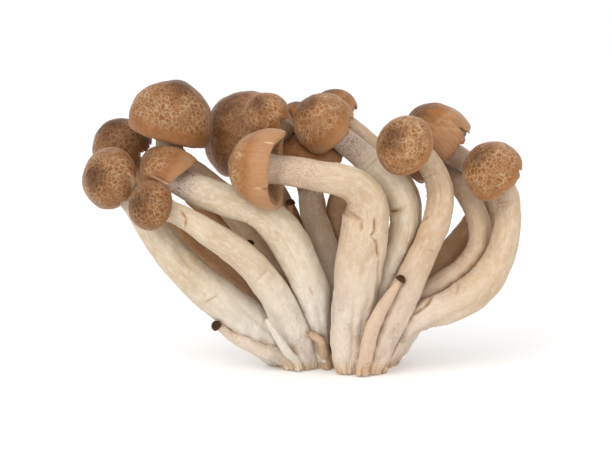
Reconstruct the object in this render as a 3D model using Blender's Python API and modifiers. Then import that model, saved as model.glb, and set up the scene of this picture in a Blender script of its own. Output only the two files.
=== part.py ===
"""Beech mushroom cluster: twenty mushrooms and ten undergrown stems fanning out of one cut foot.

Every stem is a tube along its own growing route and every cap a turned dome seated on the end of
its stem.  Where neighbours crowd each other both give way, so each meets the next on a flat with a
hair of clearance, the way soft flesh grows against soft flesh.  The lowest millimetres are one
fluted foot, the outline of all the stems where they have grown together, cut flat underneath.

Frame: +Z up, -Y is the front, origin at the middle of the cut under the foot.
Lengths in the tables are millimetres.
"""

import math

import bmesh
import bpy
import numpy as np
from mathutils import Matrix, Vector

MM = 0.001

CLUSTER = "beech_mushroom_cluster"
FOOT_HEIGHT = 6.0        # height of the part where all the stems are one mass
FOOT_MARGIN = 4.0        # how far above the foot a stem may run and still shape it
FOOT_LEVELS = 3
FOOT_STEPS = 72
CLEARANCE = 0.3          # between pieces that only touch face to face
CROWDING_GAP = 0.65      # between pieces that press each other out of shape
RING_SPACING = 5.0       # along a stem
ROUTE_SPACING = 0.2      # along the fine curve that a stem's rings are spaced on
STEM_BEVEL_RESOLUTION = 3
PIN_BEVEL_RESOLUTION = 1
CAP_STEPS = 16
PIN_CAP_STEPS = 10
CROWN_STEP = 15          # degrees between the rows of a cap from its crown to its widest part
LIP_SHARE = 0.16         # depth of a cap's rim below its widest part, as a share of its radius
LIP_ROWS = ((0.96, 0.6), (0.87, 1.0), (0.78, 0.6))  # the rim's rows: shares of the radius and the lip
LIP_FULLNESS = 1.3       # how much deeper than the lip a cap is taken to be where it crowds others
SEAT_SHARE = 0.14        # height of the gill plate above the rim, as a share of the cap's radius
GILL_SHARE = 0.62        # reach of the gill plate, as a share of the cap's radius
HOLLOW_SHARE = 0.54      # reach of the hollow that the stem may fill
SMALLEST_SHARE = 0.18    # how far towards its middle a crowded piece may be pressed
PRESS_HEIGHT = 0.25      # where a crowded cap is pressed towards, as a share of its height
HALVINGS = 12            # of the range in which the share of a crowded point is searched
NECK_SHARE = 0.96        # width of a stem's end in its cap, as a share of its last radius
SAMPLE_SPACING = 0.8
MERGE_DISTANCE = 0.02
SHARP_ANGLE = 50.0

STEM_COLOUR = (0.80, 0.70, 0.55, 1.0)
CAP_COLOUR = (0.42, 0.22, 0.10, 1.0)
FOOT_COLOUR = (0.74, 0.62, 0.46, 1.0)
PIN_CAP_COLOUR = (0.08, 0.045, 0.03, 1.0)
STEM_ROUGHNESS = 0.55
CAP_ROUGHNESS = 0.45
FOOT_ROUGHNESS = 0.7
PIN_CAP_ROUGHNESS = 0.4

# Each mushroom: its stem from the foot upwards as (x, y, z, radius), then its cap as the middle of
# its rim, the way it faces, its radius and its height.
MUSHROOMS = {
    "front_arched": {
        "stem": [(3.0, -16.4, 0, 3.2), (2.5, -17, 5.8, 3.8), (2.9, -17.4, 14.2, 5), (4.1, -18, 22.5, 6),
                 (5.2, -19, 30.7, 6.8), (6.4, -20, 38.8, 6.9), (7.3, -21, 45.8, 6.4),
                 (7.9, -22.5, 52.1, 5.5), (3.5, -25, 57.6, 4.8), (-4.3, -27.2, 59.9, 4.5)],
        "cap": ((-19.3, -27, 62.2), (-0.955, 0.28, 0.06), 11.8, 13.6),
    },
    "left_long": {
        "stem": [(-4.5, -6, 0, 3.4), (-6.4, -10, 10.3, 4.1), (-8, -14, 21.8, 5.1),
                 (-12, -17, 32.8, 5.5), (-16.8, -19, 42.2, 5.7), (-23.4, -21, 49.4, 5.2),
                 (-34, -21.5, 52.7, 4.7)],
        "cap": ((-47.6, -21, 58.8), (-0.77, -0.1, 0.62), 8.2, 12),
    },
    "left_small": {
        "stem": [(-10, -8, 0, 3.4), (-13, -13, 10.3, 4.4), (-17, -17, 19.8, 4.9),
                 (-22.2, -20, 28.6, 4.8), (-29, -23, 36.6, 4.5), (-38, -25, 43.4, 3.9),
                 (-46.5, -26.5, 49, 3.2)],
        "cap": ((-54.4, -29, 52.1), (-0.6, -0.75, 0.28), 7.3, 5.8),
    },
    "left_outer": {
        "stem": [(-15, -3, 0, 3.8), (-21.5, -7.5, 9.3, 5), (-31.2, -12, 18, 5.7),
                 (-40.4, -14.5, 26, 5.7), (-48.8, -16, 34.7, 5.1), (-55.5, -16.5, 44, 4.6),
                 (-60.8, -15, 51.8, 4)],
        "cap": ((-67.5, -17, 58.6), (-0.6, -0.75, 0.25), 9.2, 7.2),
    },
    "left_rear": {
        "stem": [(-12, 5, 0, 3.6), (-17.5, 4.5, 11.4, 4.5), (-28, 2, 23.8, 5.2), (-40, 0, 34.2, 5),
                 (-51, -1, 44.1, 4.4), (-59, 0, 53.8, 3.9)],
        "cap": ((-65.8, 3.5, 64.8), (-0.42, -0.32, 0.85), 9.5, 10),
    },
    "left_tall": {
        "stem": [(-9.5, -0.5, 0, 3.4), (-12.5, -2, 9.8, 4.2), (-16.5, -2, 23.4, 4.7),
                 (-25.5, -3, 39.2, 4.7), (-36, -3.5, 51.6, 4.5), (-45, -5, 59, 4.2),
                 (-50.5, -7, 64.8, 4)],
        "cap": ((-50.3, -9, 72.5), (0.25, -0.13, 0.95), 12.3, 14.6),
    },
    "big_rear": {
        "stem": [(-6, 2.5, 0, 3.4), (-7.2, 2.5, 12, 4), (-9, 3, 24, 4.1), (-12.4, 4, 34.5, 3.9),
                 (-16.4, 5.5, 42.5, 3.8), (-20.2, 7, 50.5, 3.8), (-23.2, 8, 57, 3.8)],
        "cap": ((-27, 9.5, 67.7), (-0.5, -0.45, 0.74), 14.6, 15.5),
    },
    "top_small": {
        "stem": [(-1.5, 1, 0, 3), (-2, 1.4, 10, 3.3), (-2.6, 2.6, 20, 3.4), (-4, 4, 32, 3.4),
                 (-6.4, 5.5, 44, 3.3), (-9.2, 6, 55, 3.2), (-11.4, 3.4, 63, 3.1), (-14.6, -2.5, 69.5, 3)],
        "cap": ((-21.6, -11, 76.4), (-0.45, -0.62, 0.64), 6.9, 7),
    },
    "rear_mid": {
        "stem": [(-3, 8, 0, 3.2), (-4, 9, 12, 3.5), (-5.5, 11, 26, 3.5), (-8, 13.5, 42, 3.4),
                 (-11, 15.4, 59, 3.1)],
        "cap": ((-13.3, 16, 72.2), (0.05, 0.08, 0.99), 6.3, 6.6),
    },
    "centre_top": {
        "stem": [(8, -7, 0, 3.3), (9.6, -11.4, 10.3, 4.4), (12.2, -13.8, 21.8, 5),
                 (15.4, -14, 31.3, 4.7), (18.2, -14, 40.3, 4.5), (19, -13.4, 48.8, 4.6),
                 (15.6, -11.6, 56.4, 4.4), (9, -8.6, 62.4, 4.1)],
        "cap": ((-3.9, -11, 72.9), (-0.62, -0.42, 0.66), 9.3, 11.4),
    },
    "centre_rear": {
        "stem": [(7.5, 0.5, 0, 3.2), (9.6, -2.3, 7.8, 3.7), (13, -4.4, 17.8, 3.9),
                 (17.6, -4, 31.8, 3.8), (21, -3.8, 43.8, 3.8), (20.2, -2.6, 51.8, 3.8),
                 (15, -0.4, 59.8, 3.7), (8, 2.2, 67.3, 3.6)],
        "cap": ((-1.5, 5.5, 76.4), (-0.3, -0.1, 0.95), 7.2, 7),
    },
    "right_front": {
        "stem": [(9.6, -16.6, 0, 3.3), (13.4, -17, 11.3, 4.7), (17.8, -18, 22.8, 5.1),
                 (21.8, -17.7, 31.8, 4.5), (25.9, -17, 40.3, 4.1), (29, -16.6, 48.8, 4),
                 (28.7, -15.4, 57.3, 3.8), (25.6, -15, 63.3, 3.5)],
        "cap": ((18.8, -21, 68.4), (-0.6, -0.7, 0.4), 8.9, 8.2),
    },
    "right_broad": {
        "stem": [(13.6, -3, 0, 3.1), (19.6, -3, 10, 3.6), (28, -2, 19, 3.8), (38, -1, 27, 3.7),
                 (44.5, -0.6, 36, 3.5), (47.2, -0.4, 45, 3.3), (45.9, -0.4, 51.5, 3.2),
                 (42.3, -0.6, 58.4, 3.1)],
        "cap": ((30.1, -1, 67.6), (-0.6, -0.25, 0.76), 10.7, 12.9),
    },
    "right_tucked": {
        "stem": [(12.5, -5, 0, 3.2), (17, -9.5, 9.8, 3.9), (22.6, -11, 18.8, 4), (30.5, -11, 25.8, 3.8),
                 (38, -10, 31.4, 3.6), (42, -9, 39.5, 3.4), (40.4, -6, 48, 3.3), (36.6, -1, 54.4, 3.2)],
        "cap": ((28.5, 8.5, 61), (-0.75, 0.35, 0.5), 7.8, 10.5),
    },
    "right_outer": {
        "stem": [(10.8, -12, 0, 2.9), (14.9, -14.4, 10.2, 3.5), (24.2, -15.8, 17.5, 4.4),
                 (34, -15.4, 21, 5.3), (41.8, -14.8, 26.4, 5.4), (47.3, -14.2, 35.2, 4.6),
                 (49.6, -13.8, 44.8, 3.8), (49.5, -13, 52.8, 3.4)],
        "cap": ((45.2, -15, 60), (-0.62, -0.5, 0.6), 9.2, 9.6),
    },
    "right_rear": {
        "stem": [(12.5, 4.5, 0, 3.2), (16.5, 3.1, 9.8, 3.8), (22.8, 3, 18.8, 4.4),
                 (29.6, 4.2, 27, 4.8), (36.4, 5.4, 35.2, 4.1), (42.6, 8, 44.4, 3.5)],
        "cap": ((44.6, 11.5, 55.8), (0.18, 0.2, 0.96), 7, 6.8),
    },
    "centre_low": {
        "stem": [(-2.4, -5, 0, 3.4), (-2.6, -5.4, 9, 3.6), (-2.6, -5.4, 18, 3.8), (-3, -4.2, 27, 4),
                 (-4.4, -2.8, 35.7, 4.1), (-6.9, -2.4, 43, 4), (-9.1, -3.4, 50, 3.5)],
        "cap": ((-6.6, -6, 60.2), (-0.55, -0.1, 0.83), 8.8, 12.2),
    },
    "back_left": {
        "stem": [(-7, 8.5, 0, 3.2), (-8.5, 9.5, 12, 3.5), (-10, 10.5, 26, 3.5), (-13.5, 11.5, 38, 3.4),
                 (-18.5, 14, 49, 3.3)],
        "cap": ((-26, 19, 60), (-0.45, 0.3, 0.84), 7.6, 8),
    },
    "back_right": {
        "stem": [(8.5, 9.5, 0, 3.2), (9.6, 8.5, 8.8, 3.6), (10.8, 10, 19.8, 3.8), (12, 13.5, 31.8, 3.6)],
        "cap": ((13, 19.5, 49.8), (0.15, 0.46, 0.87), 8.2, 8.6),
    },
    "back_low": {
        "stem": [(3, 14.5, 0, 3), (3, 15, 8.3, 3.3), (3, 17.5, 17.8, 3.3)],
        "cap": ((3, 24.5, 32.3), (0, 0.66, 0.75), 6.8, 7.2),
    },
}

# Undergrown stems that never made a cap of any size: (x, y, z, radius) from the foot upwards.
PINS = {
    "pin_left_edge": [(-13, -6.5, 0, 2.4), (-20, -12, 4.2, 2.4), (-27.6, -13.5, 8.6, 2.2),
                      (-34, -14.5, 11.8, 1.8), (-36.6, -16.5, 14.4, 1.3)],
    "pin_right_gap": [(6.8, -19.4, 0, 1.9), (7.6, -21.4, 6.8, 2), (9.4, -23.4, 15.6, 2.1),
                      (13.4, -24, 23.6, 1.8), (17.2, -23.8, 29.4, 1.2)],
    "pin_dark_gap": [(-7.6, -2.8, 0, 1.3), (-9, -6.6, 10.8, 1.3), (-13, -9.4, 20.8, 1.3),
                     (-20, -11, 29.8, 1.2), (-27, -12.6, 37.8, 1)],
    "pin_dark_rear": [(-5.6, -2.4, 0, 1.2), (-7.4, -3.2, 10, 1.1), (-8.6, -3.8, 20, 1.1),
                      (-10.8, -3.8, 30, 1.1), (-13.4, -2, 40, 1), (-15, -0.5, 48.8, 0.9)],
    "pin_pale": [(-12, -12.5, 0, 1.5), (-15.6, -18.1, 6.8, 1.5), (-19.2, -22.2, 12.8, 1.3),
                 (-21.6, -24.2, 17.6, 0.9)],
    "pin_folded": [(-4.6, -11.2, 0, 1.7), (-5, -14.2, 6.4, 1.6), (-6.4, -16.6, 10.4, 1.4),
                   (-9, -17.6, 12.4, 1)],
    "pin_sliver": [(-1.6, -8.6, 0, 1.4), (-1.9, -11, 8, 1.4), (-2.1, -11.8, 14, 1.2),
                   (-2.4, -12.4, 20, 0.8)],
    "stub_dark_left": [(-8.5, 4.5, 0, 2.2), (-14, 2.2, 14, 2.4), (-22, -0.5, 27, 2.4),
                       (-31, -1.5, 38.6, 2.4), (-40, -2, 47, 2.4), (-46, -2.2, 51.4, 1.8)],
    "stub_behind_arch": [(2.5, 3, 0, 3), (1.5, 3.2, 12, 3.3), (0, 3.4, 26, 3.5), (-1.2, 3, 38, 3.6),
                         (-0.7, 1.5, 47, 3.5), (1.2, 0, 53, 3.1), (3, -1, 57.5, 2.2)],
    "stub_right_foot": [(13.2, -16.3, 0, 2.2), (14.4, -17.5, 5.5, 2), (17.2, -18.2, 10, 1.3)],
}

# The pins that ended in a dark button of a cap: its radius.
PIN_CAPS = {"pin_left_edge": 1.7, "pin_right_gap": 1.6, "pin_dark_gap": 1.9, "pin_dark_rear": 1.6}


def unit(vector):
    vector = np.asarray(vector, float)
    return vector / np.linalg.norm(vector)


def smooth_route(knots, spacing, end_direction=None):
    """Rows of (x, y, z, radius) evenly along a smooth curve through the knots."""
    knots = np.asarray(knots, float)
    chords = np.linalg.norm(np.diff(knots[:, :3], axis=0), axis=1)
    at = np.concatenate([[0.0], np.cumsum(chords)])
    slopes = np.gradient(knots, at, axis=0)
    if end_direction is not None:
        slopes[-1, :3] = end_direction
    fine = np.linspace(0.0, at[-1], max(2, int(at[-1] / ROUTE_SPACING)))
    i = np.clip(np.searchsorted(at, fine, side="right") - 1, 0, len(chords) - 1)
    span = chords[i][:, None]
    t = ((fine - at[i]) / chords[i])[:, None]
    curve = ((2 * t**3 - 3 * t**2 + 1) * knots[i] + (t**3 - 2 * t**2 + t) * span * slopes[i]
             + (3 * t**2 - 2 * t**3) * knots[i + 1] + (t**3 - t**2) * span * slopes[i + 1])
    steps = np.linalg.norm(np.diff(curve[:, :3], axis=0), axis=1)
    length = np.concatenate([[0.0], np.cumsum(steps)])
    rings = max(3, round(length[-1] / spacing) + 1)
    even = np.linspace(0.0, length[-1], rings)
    return np.stack([np.interp(even, length, curve[:, k]) for k in range(4)], axis=1)


class Stem:
    """A tube along a route. Points inside are at a negative depth."""

    def __init__(self, name, knots, bevel_resolution, end_direction=None):
        self.name = name
        self.bevel_resolution = bevel_resolution
        self.rings = smooth_route(knots, RING_SPACING, end_direction)
        self.samples = smooth_route(knots, SAMPLE_SPACING, end_direction)

    def depth(self, points):
        away = np.linalg.norm(points[:, None, :] - self.samples[None, :, :3], axis=2)
        return (away - self.samples[:, 3]).min(axis=1)

    def middles(self, points):
        """The middle of the ring that each point belongs to."""
        centres = self.rings[:, :3]
        tangents = np.gradient(centres, axis=0)
        tangents /= np.linalg.norm(tangents, axis=1)[:, None]
        offsets = points[:, None, :] - centres[None, :, :]
        along = np.abs((offsets * tangents).sum(axis=2))
        across = np.abs(np.linalg.norm(offsets, axis=2) - self.rings[:, 3])
        return centres[(along + across).argmin(axis=1)]


class Cap:
    """A dome turned about its axis, with a short inrolled lip."""

    def __init__(self, name, centre, facing, radius, height, steps):
        self.name = name
        self.centre = np.asarray(centre, float)
        self.axis = unit(facing)
        self.radius, self.height, self.steps = radius, height, steps
        self.lip = LIP_SHARE * radius
        self.rise = SEAT_SHARE * radius
        self.seat = self.centre + self.axis * self.rise

    def profile(self):
        """(distance from the axis, height) from the crown down the outside to the gill plate."""
        r, h, lip = self.radius, self.height, self.lip
        turns = [math.radians(a) for a in range(0, 91, CROWN_STEP)]
        crown = [(r * math.sin(a), h * math.cos(a)) for a in turns]
        rim = [(out * r, -down * lip) for out, down in LIP_ROWS]
        return crown + rim + [(GILL_SHARE * r, self.rise), (0.0, self.rise)]

    def depth(self, points):
        offset = points - self.centre
        w = offset @ self.axis
        u = np.linalg.norm(offset - w[:, None] * self.axis, axis=1)
        above = w >= 0
        power = np.where(above, 2.0, 4.0)
        half = np.where(above, self.height, LIP_FULLNESS * self.lip)
        size = (u / self.radius) ** power + (np.abs(w) / half) ** power
        size = np.maximum(size, 1e-6) ** (1 / power)
        slope = np.hypot(u ** (power - 1) / self.radius**power, np.abs(w) ** (power - 1) / half**power)
        return (size - 1) / np.maximum(slope / size ** (power - 1), 1e-6)

    def middles(self, points):
        return np.broadcast_to(self.centre + PRESS_HEIGHT * self.height * self.axis, points.shape)

    def leaves_free(self, points):
        """Which points its own stem may fill: all behind the lip, and the hollow inside the lip."""
        offset = points - self.centre
        w = offset @ self.axis
        u = np.linalg.norm(offset - w[:, None] * self.axis, axis=1)
        hollow = (u < HOLLOW_SHARE * self.radius) & (w < self.rise - 0.5 * CLEARANCE)
        return hollow | (w < -self.lip - 2 * CLEARANCE)


def give_way(body, others, own_cap, points):
    """The points of a piece, drawn in towards its middle wherever its neighbours crowd it."""
    middles = body.middles(points)
    low = np.full(len(points), SMALLEST_SHARE)
    high = np.ones(len(points))

    def clear(share):
        trial = middles + share[:, None] * (points - middles)
        own = np.minimum(body.depth(trial), 0.0)
        nearest = np.min([other.depth(trial) for other in others], axis=0)
        roomy = nearest - own >= CROWDING_GAP
        return roomy & own_cap.leaves_free(trial) if own_cap else roomy

    share = np.where(clear(high), high, low)
    for _ in range(HALVINGS):
        half = (low + high) / 2
        passes = clear(half)
        low = np.where(passes, half, low)
        high = np.where(passes, high, half)
    return middles + np.maximum(share, low)[:, None] * (points - middles)


def material(name, colour, roughness):
    made = bpy.data.materials.new(name)
    made.use_nodes = True
    shader = made.node_tree.nodes["Principled BSDF"]
    shader.inputs["Base Color"].default_value = colour
    shader.inputs["Roughness"].default_value = roughness
    shader.inputs["Metallic"].default_value = 0.0
    return made


def as_mesh_object(source, name):
    """A mesh object made from an object's evaluated shape, in place of it."""
    bpy.context.view_layer.update()
    graph = bpy.context.evaluated_depsgraph_get()
    mesh = bpy.data.meshes.new_from_object(source.evaluated_get(graph))
    mesh.name = name
    data = source.data
    matrix = source.matrix_world.copy()
    bpy.data.objects.remove(source)
    if isinstance(data, bpy.types.Curve):
        bpy.data.curves.remove(data)
    made = bpy.data.objects.new(name, mesh)
    made.matrix_world = matrix
    return made


def reshape(mesh, change):
    """Applies a function on (n, 3) millimetre points to a mesh's vertices."""
    points = np.empty(len(mesh.vertices) * 3)
    mesh.vertices.foreach_get("co", points)
    points = change(points.reshape(-1, 3) / MM) * MM
    mesh.vertices.foreach_set("co", points.ravel())
    mesh.update()


def stem_tube(stem, collection):
    """The tube of a stem as a bevelled curve, made a closed mesh."""
    curve = bpy.data.curves.new(stem.name, "CURVE")
    curve.dimensions = "3D"
    curve.bevel_depth = MM
    curve.bevel_resolution = stem.bevel_resolution
    curve.use_fill_caps = True
    spline = curve.splines.new("POLY")
    spline.points.add(len(stem.rings) - 1)
    for point, (x, y, z, radius) in zip(spline.points, stem.rings):
        point.co = (x * MM, y * MM, z * MM, 1.0)
        point.radius = radius
    source = bpy.data.objects.new(stem.name, curve)
    collection.objects.link(source)
    made = as_mesh_object(source, stem.name)
    collection.objects.link(made)
    return made


def face_outwards(bm):
    bmesh.ops.recalc_face_normals(bm, faces=bm.faces)
    if bm.calc_volume(signed=True) < 0:
        bmesh.ops.reverse_faces(bm, faces=bm.faces)


def cut_above_foot(mesh):
    """Keeps what stands above the foot, closed flat where it was cut."""
    bm = bmesh.new()
    bm.from_mesh(mesh)
    bmesh.ops.remove_doubles(bm, verts=bm.verts, dist=MERGE_DISTANCE * MM)
    plane = Vector((0, 0, (FOOT_HEIGHT + CLEARANCE) * MM))
    everything = bm.verts[:] + bm.edges[:] + bm.faces[:]
    bmesh.ops.bisect_plane(bm, geom=everything, plane_co=plane, plane_no=(0, 0, 1), clear_inner=True)
    rim = [edge for edge in bm.edges if edge.is_boundary]
    bmesh.ops.edgeloop_fill(bm, edges=rim)
    bmesh.ops.triangulate(bm, faces=bm.faces)
    face_outwards(bm)
    bm.to_mesh(mesh)
    bm.free()


def turned_cap(cap, collection):
    """The dome of a cap, turned with a Screw modifier and seated facing its own way."""
    bm = bmesh.new()
    verts = [bm.verts.new((r * MM, 0.0, h * MM)) for r, h in cap.profile()]
    for a, b in zip(verts, verts[1:]):
        bm.edges.new((a, b))
    mesh = bpy.data.meshes.new(cap.name)
    bm.to_mesh(mesh)
    bm.free()
    source = bpy.data.objects.new(cap.name, mesh)
    collection.objects.link(source)
    screw = source.modifiers.new("turn", "SCREW")
    screw.steps = screw.render_steps = cap.steps
    screw.use_merge_vertices = True
    screw.merge_threshold = 0.00001
    source.rotation_mode = "QUATERNION"
    source.rotation_quaternion = Vector(cap.axis).to_track_quat("Z", "Y")
    source.location = Vector(cap.centre) * MM
    made = as_mesh_object(source, cap.name)
    collection.objects.link(made)
    made.data.transform(made.matrix_world)
    made.matrix_world.identity()
    return made


def tidy_solid(mesh):
    bm = bmesh.new()
    bm.from_mesh(mesh)
    bmesh.ops.remove_doubles(bm, verts=bm.verts, dist=MERGE_DISTANCE * MM)
    face_outwards(bm)
    bm.to_mesh(mesh)
    bm.free()


def foot_reach(angle, level, stems):
    """How far the foot reaches at an angle and height: to the far side of the furthest stem."""
    ray = np.array([math.cos(angle), math.sin(angle)])
    furthest = 0.0
    for stem in stems:
        low = stem.samples[stem.samples[:, 2] <= FOOT_HEIGHT + FOOT_MARGIN]
        x, y, radius = (np.interp(level, low[:, 2], low[:, k]) for k in (0, 1, 3))
        along = x * ray[0] + y * ray[1]
        inside = radius**2 - (x**2 + y**2 - along**2)
        if inside > 0:
            furthest = max(furthest, along + math.sqrt(inside))
    return furthest


def fluted_foot(stems, collection, name):
    """The joined foot: a cylinder cut into levels, each drawn out to the stems that run through it."""
    height = FOOT_HEIGHT * MM
    bm = bmesh.new()
    bmesh.ops.create_cone(bm, cap_ends=True, segments=FOOT_STEPS, radius1=height, radius2=height,
                          depth=height, matrix=Matrix.Translation((0, 0, height / 2)))
    for k in range(1, FOOT_LEVELS):
        everything = bm.verts[:] + bm.edges[:] + bm.faces[:]
        cut = Vector((0, 0, height * k / FOOT_LEVELS))
        bmesh.ops.bisect_plane(bm, geom=everything, plane_co=cut, plane_no=(0, 0, 1))
    for vert in bm.verts:
        angle = math.atan2(vert.co.y, vert.co.x)
        level = vert.co.z / MM
        reach = foot_reach(angle, level, stems)
        vert.co = Vector((reach * math.cos(angle), reach * math.sin(angle), level)) * MM
    face_outwards(bm)
    mesh = bpy.data.meshes.new(name)
    bm.to_mesh(mesh)
    bm.free()
    made = bpy.data.objects.new(name, mesh)
    collection.objects.link(made)
    return made


def finish(made, skin):
    made.data.materials.clear()
    made.data.materials.append(skin)
    made.data.shade_smooth()
    made.data.set_sharp_from_angle(angle=math.radians(SHARP_ANGLE))


def main():
    for old in list(bpy.data.objects):
        bpy.data.objects.remove(old)
    collection = bpy.data.collections.new(CLUSTER)
    bpy.context.scene.collection.children.link(collection)
    skins = {
        "stem": material("stem_flesh", STEM_COLOUR, STEM_ROUGHNESS),
        "cap": material("cap_skin", CAP_COLOUR, CAP_ROUGHNESS),
        "foot": material("foot_flesh", FOOT_COLOUR, FOOT_ROUGHNESS),
        "pin_cap": material("pin_cap_skin", PIN_CAP_COLOUR, PIN_CAP_ROUGHNESS),
    }

    stems, caps, own = [], [], {}
    for name, plan in MUSHROOMS.items():
        cap = Cap("cap_" + name, *plan["cap"], CAP_STEPS)
        end = cap.seat - cap.axis * CLEARANCE
        knots = plan["stem"] + [(*end, NECK_SHARE * plan["stem"][-1][3])]
        stem = Stem("stem_" + name, knots, STEM_BEVEL_RESOLUTION, cap.axis)
        stems.append(stem)
        caps.append(cap)
        own[stem], own[cap] = cap, stem
    for name, knots in PINS.items():
        stem = Stem(name, knots, PIN_BEVEL_RESOLUTION)
        stems.append(stem)
        if name in PIN_CAPS:
            facing = np.subtract(knots[-1][:3], knots[-2][:3])
            radius = PIN_CAPS[name]
            middle = knots[-1][:3] + unit(facing) * (CLEARANCE - SEAT_SHARE * radius)
            cap = Cap("cap_" + name, middle, facing, radius, radius, PIN_CAP_STEPS)
            caps.append(cap)
            own[stem], own[cap] = cap, stem

    everything = stems + caps
    for body in everything:
        others = [other for other in everything if other is not body and other is not own.get(body)]
        is_stem = isinstance(body, Stem)
        made = stem_tube(body, collection) if is_stem else turned_cap(body, collection)
        own_cap = own.get(body) if is_stem else None
        reshape(made.data, lambda points: give_way(body, others, own_cap, points))
        if is_stem:
            cut_above_foot(made.data)
            finish(made, skins["stem"])
        else:
            tidy_solid(made.data)
            finish(made, skins["pin_cap" if body.name.startswith("cap_pin") else "cap"])
    finish(fluted_foot(stems, collection, "joined_foot"), skins["foot"])


main()
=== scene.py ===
import math

import bmesh
import bpy
import numpy as np
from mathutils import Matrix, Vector, kdtree, noise


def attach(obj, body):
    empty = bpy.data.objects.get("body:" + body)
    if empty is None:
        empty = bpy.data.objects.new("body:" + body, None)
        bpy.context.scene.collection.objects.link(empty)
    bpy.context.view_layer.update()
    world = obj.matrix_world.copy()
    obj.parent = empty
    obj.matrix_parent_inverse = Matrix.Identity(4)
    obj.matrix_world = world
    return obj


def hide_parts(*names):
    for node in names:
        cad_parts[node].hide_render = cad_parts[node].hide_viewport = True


bl_info = {
    "name": "Beech mushroom cluster",
    "version": (1, 0, 0),
    "blender": (4, 5, 0),
    "location": "3D View > Sidebar > Mushrooms",
    "description": "Flesh, caps, gills and foot of a beech mushroom cluster, grown over its plain solids",
    "category": "Object",
}

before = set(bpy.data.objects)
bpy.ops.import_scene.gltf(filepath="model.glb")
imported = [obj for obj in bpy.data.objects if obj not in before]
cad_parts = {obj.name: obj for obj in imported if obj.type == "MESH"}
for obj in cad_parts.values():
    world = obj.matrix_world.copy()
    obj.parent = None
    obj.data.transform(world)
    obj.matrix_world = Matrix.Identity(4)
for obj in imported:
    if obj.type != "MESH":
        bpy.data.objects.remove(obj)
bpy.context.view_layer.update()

MM = 0.001
BODY = "root"
FRONT = np.array([0.0, -1.0, 0.0])

# Rows of a turned cap in its plain solid: seven from the crown to the widest part, three of the lip
# and the last at the edge of the gills.
DOME_ROWS = 6
DOME_STEP = 15.0
LIP_SHARE = 0.16
SEAT_SHARE = 0.14
PRESS_HEIGHT = 0.25      # where a crowded cap is pressed towards, as a share of its height

RAGGED_TOE = 1.6         # how far up from the ground a stem's ragged end reaches, in millimetres

TOUCH_FULL = 0.9         # millimetres between plain points of two stems taken as touching, where the painted contact shade is full
TOUCH = 2.4              # millimetres at which the painted contact shade between two stems has faded

STUDIO_GAIN = 1.2        # how much brighter than its own colour a surface looks in the studio light

MERGE = 0.02             # millimetres within which two points of a plain solid are one
PRESS_COLUMNS = 72       # angles at which a plain cap's pressed places are read
CAP_COLUMNS = 200        # points round a grown cap
TURN_STEPS = 720         # angles at which the crowding of a cap's points is worked out

# Points round a grown stem, and millimetres between its rows.
FINE_STEM = (128, 0.35)
COARSE_STEM = (80, 0.55)
PIN_STEM = (32, 0.35)
SKETCH_STEM = (24, 2.0)  # a rough stem, only to find its tip and its width

STEM_SUNK = 1.2          # millimetres that a stem runs up into its cap
HOLLOW_SUNK = 8.0        # millimetres more of that for a cap as hollow as its radius
PIN_SUNK = 0.25
NECK_LENGTH = 15.0       # millimetres that the rosy neck runs down most stems
PIN_NECK_LENGTH = 5.0
FIRST_PIN_SEED = 60

FOOT_VOXEL = 0.45        # millimetres between the points of the grown foot
FOOT_TOP = 3.0           # millimetres above which the foot is let down between the stems
FOOT_DROP = 0.8
FOOT_CUT = 0.6           # millimetres below which the cut face is roughened

# Each lamp: where it stands and its width in metres, its power in watts, and its colour.
LAMPS = {
    "key": ((-0.48, -0.66, 0.66), 0.8, 4.6, (1.0, 0.985, 0.96)),
    "fill": ((0.60, -0.60, 0.35), 0.7, 0.9, (1.0, 1.0, 1.0)),
}


# ---------------------------------------------------------------- reading the plain solids


def merged_points(node):
    """Points of a plain solid in millimetres, and each point's neighbours."""
    bm = bmesh.new()
    bm.from_mesh(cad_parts[node].data)
    bmesh.ops.remove_doubles(bm, verts=bm.verts, dist=MERGE * MM)
    bm.verts.index_update()
    points = np.array([v.co[:] for v in bm.verts]) / MM
    near = [[edge.other_vert(v).index for edge in v.link_edges] for v in bm.verts]
    bm.free()
    return points, near


def rows_from(start, near):
    """Indices of the points one step away from the start, then two steps away, and so on."""
    seen = set(start)
    rows = [list(start)]
    while rows[-1]:
        ahead = {k for i in rows[-1] for k in near[i]} - seen
        seen |= ahead
        rows.append(sorted(ahead))
    return rows[:-1]


def unit(v):
    """Vectors at length 1."""
    return v / np.maximum(np.linalg.norm(v, axis=-1, keepdims=True), 1e-9)


def around(axis):
    """Two directions square to each axis: the first as near the front as it can be."""
    ahead = unit(FRONT - (axis @ FRONT)[..., None] * axis)
    return ahead, np.cross(axis, ahead)


def blurred(table, share, axis, wrap):
    """A table smoothed along one axis by a bell curve, its width in cells."""
    reach = max(1, int(3 * share))
    bell = np.exp(-0.5 * (np.arange(-reach, reach + 1) / share) ** 2)
    bell /= bell.sum()
    spread = [(0, 0)] * table.ndim
    spread[axis] = (reach, reach)
    padded = np.pad(table, spread, mode="wrap" if wrap else "edge")
    return np.apply_along_axis(lambda line: np.convolve(line, bell, "valid"), axis, padded)


def hump(away, width):
    """A bell curve: 1 in the middle, fading over the width."""
    return np.exp(-((away / width) ** 2))


def turn_between(turns, facing):
    """Angles measured from a facing, from minus to plus half a turn."""
    return (turns - facing + math.pi) % (2 * math.pi) - math.pi


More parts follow.
